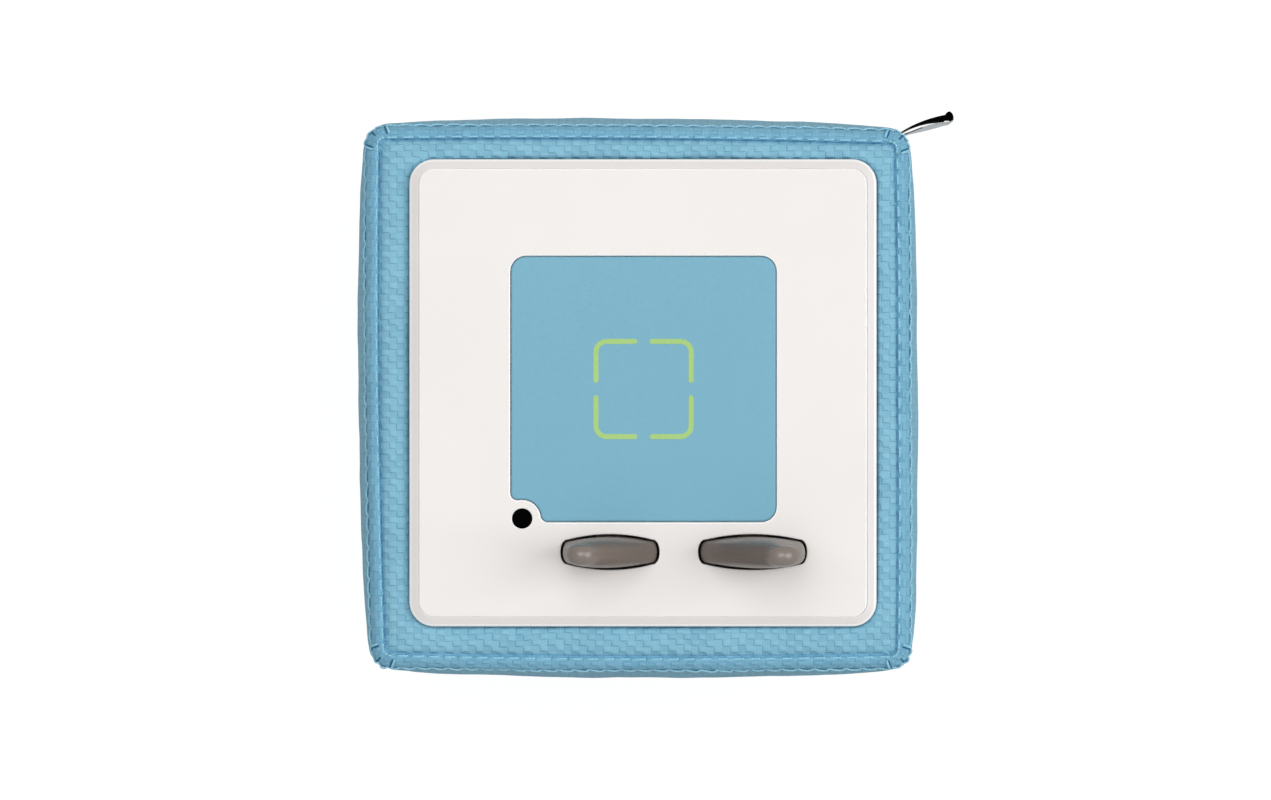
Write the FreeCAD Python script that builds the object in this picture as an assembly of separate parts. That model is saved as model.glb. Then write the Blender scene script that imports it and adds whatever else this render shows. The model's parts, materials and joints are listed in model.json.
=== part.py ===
# Audio story player: a padded cloth cube with a moulded top plate and two ears that rock.
# Units are millimetres.  +X is right, +Y is the back and +Z is up.  The origin is on the
# table, on the axis of the round dock recess, which is also the middle of the top plate.
import FreeCAD, Part
import math
import os

# ---------------------------------------------------------------- overall form
plate_top = 120.0            # flat face of the top plate above the table
housing_half = 45.5          # half width of the hard housing, which all the rest follows
foot_height = 0.5            # how far the feet lift the base plate
cover_shift_x = -1.02        # the sewn cover sits a little left of the housing
cover_shift_y = -1.06        # and a little to the front of it

# ---------------------------------------------------------------- coarseness of hidden shapes
slim_sides = 6               # sides of a hidden screw, boss or pilot hole
disc_sides = 12              # sides of a larger hidden round piece
round_steps = 3              # straight steps that stand for a round corner in cloth and housing

# ---------------------------------------------------------------- cloth cover and foam
cloth_thickness = 1.2
cloth_clearance = 0.1        # between the cloth and the hard parts that clamp it
cover_frame_width = 5.2      # from the edge of the plate to the inner stitch line
cover_band_width = 2.9       # from the inner to the outer stitch line
cover_groove_depth = 0.5     # how deep the stitches pull the cloth in
cover_groove_width = 0.9
cover_band_rise = 2.0        # height from the outer stitch line up to the frame of the panel
cover_frame_crown = 0.35     # swell of the narrow frame round the plate
cover_flat_width = 1.25      # flat strip of the frame beyond the edge of the plate
cover_belly = 4.35           # swell of the side panels at half height
cover_seam_corner = 5.0      # corner radius at the stitch lines
cover_steps = 6              # level bands that shape the swell
lining_steps = 4             # the same inside the cloth and on the foam
cover_clamp = 1.0            # how far the cloth reaches in over the rim of the housing
cover_opening_corner = 4.0   # corners of the square openings in the top and bottom panels
foam_clearance = 0.3
foam_recess = 0.6            # foam stops this far below the frames of the cover
foam_speaker_clearance = 1.5

# ---------------------------------------------------------------- ribbon loop
ribbon_width = 10.0
ribbon_thickness = 0.5
ribbon_drop = 4.0            # top edge of the ribbon below the outer stitch line
# Points of the loop seen from above, from the corner where the outer stitch lines would meet.
ribbon_root = (-1.03, -1.39)
ribbon_upper_leg = (2.97, 1.31)
ribbon_upper_end = (7.97, 2.71)
ribbon_tip = (9.37, 1.91)
ribbon_lower_end = (8.27, 0.61)
ribbon_lower_leg = (3.97, -0.29)

# ---------------------------------------------------------------- top plate
plate_overhang = 2.05        # plate beyond the wall of the housing
plate_corner = 5.0
plate_thickness = 2.4
plate_edge_height = 1.5      # upright edge of the plate
plate_edge_round = 0.35
plate_ring_width = 2.0       # sloping ring between the edge and the flat face
plate_ring_step = 0.12       # small step where the ring meets the flat face
skirt_clearance = 0.2
skirt_wall = 1.8
skirt_inner_corner = 1.9
skirt_depth = 6.0
rib_thickness = 1.2
rib_depth = 3.0
rib_gap = 6.0                # from the edge of the antenna board to the ribs round it

# ---------------------------------------------------------------- figure pad, marks and lens
pad_half = 26.9
pad_corner = 3.0
pad_thickness = 1.2
pad_rise = 0.15
pad_clearance = 0.12
pad_x = 0.10
pad_y = 0.77
pad_edge_bevel = 0.15
notch_radius = 3.96
notch_round = 1.3
lens_in_x = 2.23             # axis of the lens inside the left edge of the pad
lens_in_y = 0.58             # and inside its front edge
lens_radius = 1.97
lens_rise = 0.1
lens_length = 3.2
lens_clearance = 0.08
lamp_radius = 1.5
lamp_height = 2.0
mark_half = 10.2
mark_stroke = 1.05
mark_corner = 2.7
mark_gap = 2.5
mark_depth = 0.3             # printed inlay, flush with the pad
mark_steps = 6               # straight steps that stand for its round corners

# ---------------------------------------------------------------- ears
ear_gap = 6.23               # from the front edge of the pad to the middle line of the ears
large_ear_in = 25.27         # middle of the large ear inside the right edge of the plate
ear_pitch = 28.98            # between the middles of the two ears
small_slot_length = 20.1
large_slot_length = 22.1
slot_width = 7.24
ear_clearance = 0.5
small_ear_height = 22.0
large_ear_height = 30.0
blunt_share = 0.70           # thickness of an ear's blunt end against its middle
blunt_depth_share = 0.22     # how far that end bulges against its thickness
# Front outline of an ear: across as a share of half its length, from the middle of the slot
# towards the side it leans to, and up as a share of its height.
inner_edge_middle = (-0.47, 0.50)
tip_inner_end = (0.22, 0.91)
tip_middle = (0.55, 1.00)
tip_outer_end = (0.86, 0.88)
outer_edge_middle = (0.97, 0.45)
# Side outline of an ear: half thickness near the tip and half way up, as shares of the whole.
tip_half_share = 0.31
waist_half_share = 0.46

# ---------------------------------------------------------------- ear mechanism
pivot_depth = 6.0            # pin axis below the flat face of the plate
pin_radius = 1.0
pin_clearance = 0.05
pin_seat_clearance = 0.02
pin_overhang = 0.4
hub_radius = 2.8
hub_width = 14.0
shank_width = 13.6
shank_thickness = 5.0
flange_depth = 0.3           # ear section carried on below the plate
arm_reach = 11.2
arm_width = 6.0
arm_thickness = 2.0
arm_drop = 0.1               # middle of the arm below the pin axis
cheek_gap = 0.4
cheek_thickness = 2.0
cheek_depth = 6.4
cheek_head = 2.6             # cheek above the pin axis
bracket_floor = 1.6
bracket_drop = 4.0           # top of the bracket floor below the pin axis
bracket_lip = 4.0            # bracket floor in front of the pin axis
bracket_margin = 0.1         # bracket floor behind the ear board
bracket_end = 3.4            # bracket floor beyond its end screws
bracket_screw_out = 14.0     # end screws beyond the middle of each ear
bracket_boss_radius = 2.6
small_screw_radius = 0.9
small_screw_clearance = 0.1
small_head_radius = 1.9
small_head_height = 1.4
small_screw_engagement = 6.0
return_pad_reach = 4.6       # axis of the rubber pad behind the pin axis
return_pad_radius = 1.25
switch_reach = 9.5           # plunger axis behind the pin axis
switch_size = 6.0
switch_height = 1.0
switch_gap = 0.15            # between the resting arm and the plunger
plunger_radius = 1.4
plunger_clearance = 0.08
plunger_stand = 0.55         # plunger above the switch body
plunger_sunk = 0.45          # plunger inside the switch body
ear_board_thickness = 1.2
ear_board_margin = 5.5
ear_board_front_gap = 0.3
ear_board_depth = 6.6

# ---------------------------------------------------------------- figure reader
reader_inset = 3.9           # antenna board inside the edge of the pad
reader_thickness = 0.8
reader_gap = 0.4
reader_window = 8.0
reader_post_radius = 1.6
reader_post_inset = 3.0
magnet_radius = 5.0
magnet_height = 3.0
magnet_wall = 1.2
magnet_lip = 0.8

# ---------------------------------------------------------------- hard housing
housing_corner = 5.0
housing_wall = 2.0
housing_floor = 2.0
collar_height = 26.3
joint_step = 2.0             # tongue of the tub inside the collar
joint_clearance = 0.15
tongue_wall = 0.9
pillar_inset = 6.1           # axes of the corner pillars inside the outer walls
pillar_radius = 4.6
pillar_tunnel = 3.1
pillar_web = 10.0
collar_boss_depth = 10.0
screw_radius = 1.4
screw_clearance = 0.25
pilot_clearance = 0.05
head_radius = 2.7
head_height = 2.0
housing_screw_reach = 8.0
plate_screw_inset = 7.5
plate_screw_ys = (-14.0, 20.0)
plate_boss_radius = 3.0
plate_boss_depth = 13.6
shelf_thickness = 2.0
shelf_width = 12.0
plate_screw_reach = 10.0

# ---------------------------------------------------------------- base plate and dock
base_overhang = 1.5          # base plate beyond the wall of the housing
base_thickness = 1.9
base_corner = 6.0
base_plate_wall = 1.6
base_rim_inset = 1.7         # rim of the base plate inside the wall of the housing
dock_radius = 17.0
dock_depth = 3.7
dock_wall = 1.8
dock_ceiling = 1.4
dock_floor_gap = 0.5
contact_count = 3
contact_circle = 9.0
contact_radius = 2.0
contact_recess = 0.1
contact_clearance = 0.05
contact_board_radius = 16.0
contact_board_thickness = 1.2
foot_inset = 10.0
foot_radius = 5.5
foot_sunk = 0.8
foot_clearance = 0.1
foot_bevel = 0.3
base_screw_inset = 7.8       # base screws inside the rim
base_boss_radius = 3.6
base_boss_height = 10.0
base_counterbore = 3.25
base_screw_reach = 8.0
base_column_radius = 4.6

# ---------------------------------------------------------------- speaker
speaker_below_joint = 33.9   # axis below the joint line of the housing
speaker_half = 27.0
speaker_rim_width = 4.0      # square flange beyond the round throat, at its narrowest
speaker_flange = 1.2
gasket_thickness = 0.8
basket_wall = 1.0
basket_depth = 13.0
basket_straight = 3.0
basket_back_radius = 13.0
basket_window = 14.0
speaker_magnet_radius = 15.0
speaker_magnet_height = 9.0
surround_width = 4.6
surround_roll = 1.3
surround_thickness = 0.5
cone_throat = 8.0
cone_depth = 7.0
cone_thickness = 0.5
speaker_piece_gap = 0.1
speaker_screw_inset = 3.5
speaker_screw_depth = 3.5
speaker_bar = 2.0
speaker_slot = 3.2
grille_margin = 0.5          # grille inside the throat of the speaker

# ---------------------------------------------------------------- battery
cell_radius = 7.1
cell_length = 50.0
cell_pitch = 15.0
cell_count = 3
cell_button_radius = 2.8
cell_button = 1.0
cell_clearance = 0.2
tray_wall = 1.6
tray_floor = 1.4
tray_lift = 4.2
tray_depth = 8.0
tray_leg = 5.0
strap_width = 9.0
strap_thickness = 0.6
strap_clearance = 0.2

# ---------------------------------------------------------------- main board
board_side_gap = 10.5        # between the side walls of the tub and the board
board_bottom = 22.0
board_top = 80.0
board_thickness = 1.6
board_gap = 8.0              # between the back wall of the tub and the board
board_screw_inset = 4.0
board_boss_radius = 2.8
chip_height = 1.2
can_width = 26.0
can_height = 20.0
can_depth = 2.6
can_wall = 0.3
can_x = -14.0
can_z = 62.0
socket_width = 15.0
socket_height = 15.5
socket_depth = 1.9
socket_wall = 0.35
socket_x = 15.0
socket_z = 63.0
card_width = 11.0
card_height = 15.0
card_depth = 0.8
plug_width = 8.0
plug_height = 5.0
plug_depth = 4.5
speaker_plug_x = 24.0
speaker_plug_z = 44.0
battery_plug_x = -6.0
battery_plug_z = 29.0
ear_plug_x = 2.0
ear_plug_z = 75.0
# middle across, middle up, width and height of each chip on the board
chips = (
    (-14.0, 62.0, 12.0, 12.0),
    (-16.0, 40.0, 10.0, 8.0),
    (0.0, 46.0, 7.0, 7.0),
    (10.0, 34.0, 5.0, 4.0),
)

# ---------------------------------------------------------------- headphone socket
jack_in = 14.0               # axis inside the right edge of the board
jack_z = 32.0
jack_bore = 1.75
jack_depth = 14.0
jack_barrel_radius = 4.0
jack_foot_radius = 5.5
jack_foot = 4.0
jack_wall_clearance = 0.15
jack_ring_radius = 6.5
jack_ring_thickness = 1.2
jack_ring_clearance = 0.05
jack_stand = 1.6             # mouth of the socket beyond the swell of the back panel

# ---------------------------------------------------------------- inner leads
lead_width = 3.0
lead_thickness = 1.0
lead_round_share = 0.45
lead_straight = 9.0          # straight run out of a plug on the upper leads
battery_lead_straight = 2.5
speaker_lead_droop = 10.0
speaker_tag_drop = 5.0       # solder tags below the axis of the speaker
battery_contact_rise = 2.8   # contacts above the underside of the tray

# ---------------------------------------------------------------- sizes that follow
plate_half = housing_half + plate_overhang
cover_groove_half = plate_half + cover_frame_width              # inner stitch line
cover_seam_half = cover_groove_half + cover_band_width          # outer stitch line
cover_flat_half = plate_half + cover_flat_width
frame_top = plate_top - plate_thickness - cloth_clearance       # top of the cloth under the rim
clamp_top = frame_top - cloth_thickness - cloth_clearance       # rim of the collar
seam_top = frame_top - cover_band_rise                          # upper outer stitch line
base_top = foot_height + base_thickness
frame_bottom = base_top + cloth_clearance
tub_bottom = frame_bottom + cloth_thickness + cloth_clearance
seam_bottom = frame_bottom + cover_band_rise
cover_middle = (seam_top + seam_bottom) / 2.0
cover_reach = (seam_top - seam_bottom) / 2.0
pivot_z = plate_top - pivot_depth
plate_underside = plate_top - plate_thickness
bracket_top = pivot_z - bracket_drop
arm_underside = pivot_z - arm_drop - arm_thickness / 2.0
joint_z = clamp_top - collar_height
housing_inner = housing_half - housing_wall
pillar_at = housing_half - pillar_inset
plate_screw_at_x = housing_half - plate_screw_inset
base_half = housing_half + base_overhang
base_rim_half = housing_half - base_rim_inset
base_screw_at = base_rim_half - base_screw_inset
foot_at = base_half - foot_inset
tub_floor_top = tub_bottom + housing_floor
speaker_z = joint_z - speaker_below_joint
speaker_throat = speaker_half - speaker_rim_width
speaker_screw_at = speaker_half - speaker_screw_inset
grille_radius = speaker_throat - grille_margin
reader_half = pad_half - reader_inset
lens_x = pad_x - pad_half + lens_in_x
lens_y = pad_y - pad_half + lens_in_y
large_ear_x = plate_half - large_ear_in
small_ear_x = large_ear_x - ear_pitch
ear_y = pad_y - pad_half - ear_gap
ear_board_front = ear_y + return_pad_reach + return_pad_radius + ear_board_front_gap
ear_board_back = ear_board_front + ear_board_depth
bracket_screw_xs = (
    small_ear_x - bracket_screw_out, (small_ear_x + large_ear_x) / 2.0,
    large_ear_x + bracket_screw_out,
)
bracket_left = bracket_screw_xs[0] - bracket_end
bracket_right = bracket_screw_xs[-1] + bracket_end
bracket_front = ear_y - bracket_lip
bracket_back = ear_board_back + bracket_margin
board_half_width = housing_inner - board_side_gap
jack_x = board_half_width - jack_in
board_back = housing_inner - board_gap
board_front = board_back - board_thickness

UP = FreeCAD.Vector(0, 0, 1)
RIGHT = FreeCAD.Vector(1, 0, 0)
BACK = FreeCAD.Vector(0, 1, 0)
EPSILON = 1e-6
CORNERS = ((-1, -1), (1, -1), (1, 1), (-1, 1))


# ---------------------------------------------------------------- general shapes
def at(x, y, z):
    """A point."""
    return FreeCAD.Vector(x, y, z)


def section(half, radius, z, x=0.0, y=0.0):
    """Closed square outline with round corners at one height."""
    start = half - radius
    diagonal = start + radius * math.sqrt(0.5)
    edges = []
    for quarter in range(4):
        turn = FreeCAD.Rotation(UP, 90.0 * quarter)
        first, last, bend, end = [
            turn.multVec(at(px, py, 0.0)) + at(x, y, z)
            for px, py in (
                (start, half), (-start, half), (-diagonal, diagonal), (-half, start),
            )
        ]
        edges.append(Part.LineSegment(first, last).toShape())
        edges.append(Part.Arc(last, bend, end).toShape())
    return Part.Wire(edges)


def faceted_corners(half, radius, z, x=0.0, y=0.0, steps=round_steps):
    """Points round a square outline whose round corners are drawn in short straight steps."""
    start = half - radius
    corners = []
    for quarter in range(4):
        turn = FreeCAD.Rotation(UP, 90.0 * quarter)
        for step in range(steps + 1):
            angle = math.pi / 2.0 * step / steps
            corner = at(start + radius * math.cos(angle), start + radius * math.sin(angle), 0.0)
            corners.append(turn.multVec(corner) + at(x, y, z))
    return corners


def flat_face(corners):
    """Flat face between points."""
    return Part.Face(Part.makePolygon(list(corners) + [corners[0]]))


def stack(outlines):
    """Solid with flat faces through outlines that have their sides in the same directions."""
    faces = [flat_face(outlines[0]), flat_face(outlines[-1])]
    for low, high in zip(outlines, outlines[1:]):
        for i, corner in enumerate(low):
            j = (i + 1) % len(low)
            faces.append(flat_face((corner, low[j], high[j], high[i])))
    solid = Part.Solid(Part.Shell(faces))
    return solid if solid.Volume > 0 else solid.reversed()


def faceted_block(half, radius, low, high, x=0.0, y=0.0, steps=round_steps):
    """Upright square block whose round corners are drawn in short straight steps."""
    outline = flat_face(faceted_corners(half, radius, low, x, y, steps))
    return outline.extrude(at(0, 0, high - low))


def square_block(half, radius, low, high, x=0.0, y=0.0):
    """Upright square block with round corners."""
    face = Part.Face(section(half, radius, low, x, y))
    return face.extrude(at(0, 0, high - low))


def box(x_range, y_range, z_range):
    """Plain block between two corners."""
    low = at(x_range[0], y_range[0], z_range[0])
    return Part.makeBox(
        x_range[1] - x_range[0], y_range[1] - y_range[0], z_range[1] - z_range[0], low
    )


def rod(radius, start, end):
    """Cylinder between two points."""
    return Part.makeCylinder(radius, start.distanceToPoint(end), start, end - start)


def post(radius, x, y, low, high):
    """Upright cylinder."""
    return rod(radius, at(x, y, low), at(x, y, high))


def slim_rod(radius, start, end, sides=slim_sides):
    """Many-sided rod whose flats lie `radius` from its axis, for hidden round pieces and holes."""
    along = end - start
    return flat_face(many_sided(radius, start, along, sides)).extrude(along)


def many_sided(radius, centre, axis, sides):
    """Points of an outline of equal flats about an axis that runs along X, Y or Z."""
    side = RIGHT if abs(axis.x) < EPSILON else UP
    sector = 360.0 / sides
    reach = side * (radius / math.cos(math.radians(sector / 2.0)))
    return [
        centre + FreeCAD.Rotation(axis, sector * (i + 0.5)).multVec(reach) for i in range(sides)
    ]


def slim_post(radius, x, y, low, high, sides=slim_sides):
    """Upright many-sided rod."""
    return slim_rod(radius, at(x, y, low), at(x, y, high), sides)


def fused(solids):
    """One shape from solids that touch."""
    whole = solids[0].fuse(solids[1:]) if len(solids) > 1 else solids[0]
    return whole.removeSplitter()


def lens_wire(length, thickness, x, y, z):
    """Slim outline with two bowed sides and two blunt round ends."""
    end = thickness * blunt_share / 2.0
    shoulder = length / 2.0 - thickness * blunt_depth_share
    centre = at(x, y, z)
    corners = [at(sx * shoulder, sy * end, 0) + centre for sx, sy in CORNERS]
    bulges = (
        at(0, -thickness / 2.0, 0) + centre,
        at(length / 2.0, 0, 0) + centre,
        at(0, thickness / 2.0, 0) + centre,
        at(-length / 2.0, 0, 0) + centre,
    )
    edges = [
        Part.Arc(corners[i], bulges[i], corners[(i + 1) % 4]).toShape() for i in range(4)
    ]
    return Part.Wire(edges)


def screw(x, y, head_low, direction, reach, radius, head, head_depth):
    """Pan-head screw along Z: its head starts at head_low and its shank goes in `direction`."""
    along = at(0, 0, direction)
    start = at(x, y, head_low)
    shoulder = start + along * head_depth
    shank = slim_rod(radius, shoulder, shoulder + along * reach)
    return fused([slim_rod(head, start, shoulder), shank])


def rounded_path(points):
    """Straight runs joined by tangent arcs that are as large as the runs allow."""
    edges = []
    last = points[0]
    for before, corner, after in zip(points, points[1:], points[2:]):
        inward = (before - corner).normalize()
        onward = (after - corner).normalize()
        half_turn = (math.pi - inward.getAngle(onward)) / 2.0
        shorter = min(before.distanceToPoint(corner), after.distanceToPoint(corner))
        trim = lead_round_share * shorter
        radius = trim / math.tan(half_turn)
        start = corner + inward * trim
        end = corner + onward * trim
        middle_way = (inward + onward).normalize()
        sagitta = radius / math.cos(half_turn) - radius
        edges.append(Part.LineSegment(last, start).toShape())
        edges.append(Part.Arc(start, corner + middle_way * sagitta, end).toShape())
        last = end
    edges.append(Part.LineSegment(last, points[-1]).toShape())
    return Part.Wire(edges)


def lead(points):
    """Flat two-core lead along a route that stays in one upright plane."""
    path = rounded_path(points)
    heading = (points[1] - points[0]).normalize()
    across = (points[1] - points[0]).cross(points[2] - points[1]).normalize()
    up = across.cross(heading)
    corners = [
        points[0] + across * (sx * lead_width / 2.0) + up * (sy * lead_thickness / 2.0)
        for sx, sy in CORNERS
    ]
    return path.makePipeShell([Part.makePolygon(corners + corners[:1])], True, False)


# ---------------------------------------------------------------- cloth cover and foam
def belly_at(z):
    """Half width of the side panels at one height."""
    return cover_seam_half + cover_belly * (1.0 - ((z - cover_middle) / cover_reach) ** 2)


def belly(inset, steps):
    """The four side panels as one swelling block between the outer stitch lines."""
    profile = []
    for step in range(steps + 1):
        z = seam_bottom + (seam_top - seam_bottom) * step / steps
        grown = belly_at(z) - cover_seam_half - inset
        profile.append((cover_seam_half + grown, cover_seam_corner + grown, z))
    return stacked_rings(profile)


def stacked_rings(profile):
    """Block whose outline follows (half width, corner radius, z) steps."""
    return stack([
        faceted_corners(half, radius, z, cover_shift_x, cover_shift_y)
        for half, radius, z in profile
    ])


def edge_roll(seam_z, away):
    """The stitched band and the narrow frame beyond one stitch line; away is +1 up or -1 down."""
    frame_z = seam_z + away * cover_band_rise
    slope = cover_seam_half - cover_groove_half
    lip = cover_groove_width / 2.0
    corner = cover_seam_corner
    crown_half = (cover_groove_half + cover_flat_half) / 2.0
    return stacked_rings((
        (cover_seam_half, corner, seam_z),
        (cover_groove_half + slope / 2.0, corner - slope / 2.0, frame_z - away * lip / 2.0),
        (cover_groove_half + lip, corner - slope + lip, frame_z - away * lip / 4.0),
        (cover_groove_half, corner - slope, frame_z - away * cover_groove_depth),
        (cover_groove_half - lip, corner - slope, frame_z),
        (crown_half, corner - slope, frame_z + away * cover_frame_crown),
        (cover_flat_half, corner - slope, frame_z),
    ))


def fabric_cover():
    """Sewn cloth skin: swelling side panels, stitched bands and frames with square openings."""
    outer = fused([
        belly(0.0, cover_steps),
        edge_roll(seam_top, 1),
        edge_roll(seam_bottom, -1),
    ])
    inner_top = frame_top - cloth_thickness
    inner_bottom = frame_bottom + cloth_thickness
    inner_half = cover_seam_half - cloth_thickness
    inner_corner = cover_seam_corner - cloth_thickness
    shoulder_half = cover_groove_half - cloth_thickness
    shoulder_corner = inner_corner - (inner_half - shoulder_half)
    inner = fused([
        belly(cloth_thickness, lining_steps),
        stacked_rings((
            (inner_half, inner_corner, seam_top),
            (shoulder_half, max(shoulder_corner, cloth_thickness), inner_top),
        )),
        stacked_rings((
            (shoulder_half, max(shoulder_corner, cloth_thickness), inner_bottom),
            (inner_half, inner_corner, seam_bottom),
        )),
    ])
    opening = faceted_block(housing_half - cover_clamp, cover_opening_corner, 0.0, plate_top)
    socket = slim_rod(
        jack_barrel_radius + cloth_clearance, at(jack_x, board_back, jack_z),
        at(jack_x, plate_top, jack_z),
    )
    return outer.cut(inner).cut([opening, socket])


def foam_jacket():
    """Foam sleeve between the housing and the cover, open in front of the speaker."""
    block = belly(cloth_thickness + foam_clearance, lining_steps)
    low = seam_bottom + foam_recess
    high = seam_top - foam_recess
    keep = box((-plate_top, plate_top), (-plate_top, plate_top), (low, high))
    hollow = faceted_block(housing_half + foam_clearance, housing_corner, 0.0, plate_top)
    front = at(0, -plate_top, speaker_z)
    reach = grille_radius + foam_speaker_clearance
    window = slim_rod(reach, front, at(0, 0, speaker_z), disc_sides)
    socket = slim_rod(
        jack_barrel_radius + foam_clearance, at(jack_x, 0, jack_z), at(jack_x, plate_top, jack_z)
    )
    return block.common(keep).cut(hollow).cut(window).cut(socket)


def tag_loop():
    """Ribbon folded into a loop, with both ends sewn into the upright corner seam."""
    low = seam_top - ribbon_drop - ribbon_width
    seam_corner = at(cover_shift_x + cover_seam_half, cover_shift_y + cover_seam_half, low)
    corners = [seam_corner + at(x, y, 0.0) for x, y in (
        ribbon_root, ribbon_upper_leg, ribbon_upper_end, ribbon_tip, ribbon_lower_end,
        ribbon_lower_leg,
    )]
    root, upper_leg, upper_end, tip, lower_end, lower_leg = corners
    edges = [
        Part.Arc(root, upper_leg, upper_end).toShape(),
        Part.Arc(upper_end, tip, lower_end).toShape(),
        Part.Arc(lower_end, lower_leg, root).toShape(),
    ]
    outer = Part.Wire(edges)
    inner = outer.makeOffset2D(-ribbon_thickness)
    ring = Part.Face(outer).cut(Part.Face(inner))
    ribbon = ring.extrude(at(0, 0, ribbon_width))
    return ribbon.cut(belly(0.0, cover_steps))


# ---------------------------------------------------------------- top plate and what is in it
def plate_shell():
    """Plate with an upright edge, a sloping ring and a flat face that stands a step higher."""
    shoulder = plate_underside + plate_edge_height
    ring_half = plate_half - plate_ring_width
    ring_corner = plate_corner - plate_ring_width
    rim = square_block(plate_half, plate_corner, plate_underside, shoulder)
    slope = Part.makeLoft(
        [
            section(plate_half, plate_corner, shoulder),
            section(
                plate_half - plate_edge_round, plate_corner - plate_edge_round,
                shoulder + plate_edge_round / 2.0,
            ),
            section(ring_half, ring_corner, plate_top - plate_ring_step),
        ],
        True, True,
    )
    face = square_block(ring_half, ring_corner, plate_top - plate_ring_step, plate_top)
    return fused([rim, slope, face])


def skirt():
    """Wall under the plate that drops inside the collar."""
    half = housing_inner - skirt_clearance
    corner = housing_corner - housing_wall - skirt_clearance
    low = plate_underside - skirt_depth
    outer = faceted_block(half, corner, low, plate_underside)
    inner = faceted_block(half - skirt_wall, skirt_inner_corner, low, plate_underside)
    return outer.cut(inner)


def pad_outline(half, corner, low, high, notch):
    """Square of the figure pad, with the corner by the lens cut back round it."""
    square = square_block(half, corner, low, high, pad_x, pad_y)
    return square.cut(post(notch, lens_x, lens_y, low, high))


def figure_pad():
    """Soft pad let into the plate, with a rounded notch in one corner."""
    low = plate_top - pad_thickness
    high = plate_top + pad_rise
    pad = pad_outline(pad_half, pad_corner, low, high, notch_radius)
    tips = [
        e for e in pad.Edges
        if e.Length < high - low + EPSILON
        and abs(e.Vertexes[0].X - e.Vertexes[-1].X) < EPSILON
        and abs(e.Vertexes[0].Y - e.Vertexes[-1].Y) < EPSILON
        and abs(e.Vertexes[0].Point.distanceToPoint(at(lens_x, lens_y, e.Vertexes[0].Z))
                - notch_radius) < EPSILON
    ]
    pad = pad.makeFillet(notch_round, tips)
    rim = [e for e in pad.Edges if abs(e.BoundBox.ZMin - high) < EPSILON]
    return pad.makeChamfer(pad_edge_bevel, rim).cut(target_marks())


def target_marks():
    """Four corner brackets with round ends, let into the pad, as one group of solids."""
    high = plate_top + pad_rise
    low = high - mark_depth
    inner_half = mark_half - mark_stroke
    inner_corner = mark_corner - mark_stroke
    ring = faceted_block(mark_half, mark_corner, low, high, pad_x, pad_y, mark_steps).cut(
        faceted_block(inner_half, inner_corner, low, high, pad_x, pad_y, mark_steps)
    )
    line = mark_half - mark_stroke / 2.0
    end = (mark_gap + mark_stroke) / 2.0
    reach = mark_half + mark_stroke
    across = box((pad_x - reach, pad_x + reach), (pad_y - end, pad_y + end), (low, high))
    along = box((pad_x - end, pad_x + end), (pad_y - reach, pad_y + reach), (low, high))
    ring = ring.cut(across).cut(along)
    brackets = []
    for sx, sy in CORNERS:
        quarter = min(
            ring.Solids,
            key=lambda s: s.CenterOfMass.distanceToPoint(
                at(pad_x + sx * line, pad_y + sy * line, low)
            ),
        )
        ends = [
            slim_post(
                mark_stroke / 2.0, pad_x + sx * end, pad_y + sy * line, low, high, disc_sides
            ),
            slim_post(
                mark_stroke / 2.0, pad_x + sx * line, pad_y + sy * end, low, high, disc_sides
            ),
        ]
        brackets.append(fused([quarter] + ends))
    return Part.makeCompound(brackets)


def status_lens():
    """Round lens pressed into the plate, with a slightly domed top."""
    low = plate_top + lens_rise - lens_length
    high = plate_top + lens_rise
    lens = post(lens_radius, lens_x, lens_y, low, high)
    rim = [e for e in lens.Edges if abs(e.BoundBox.ZMin - high) < EPSILON]
    return lens.makeChamfer(lens_rise, rim)


def status_lamp():
    """Light-emitting diode under the lens."""
    top = plate_top + lens_rise - lens_length
    return slim_post(lamp_radius, lens_x, lens_y, top - lamp_height, top)


def ear_slot(length, x):
    """Opening in the plate round one ear."""
    outline = Part.Face(lens_wire(length, slot_width, x, ear_y, plate_underside))
    return outline.extrude(at(0, 0, plate_thickness))


def reader_posts():
    """Places of the four posts that carry the antenna board."""
    inset = reader_half - reader_post_inset
    return [(pad_x + sx * inset, pad_y + sy * inset) for sx, sy in CORNERS]


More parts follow.
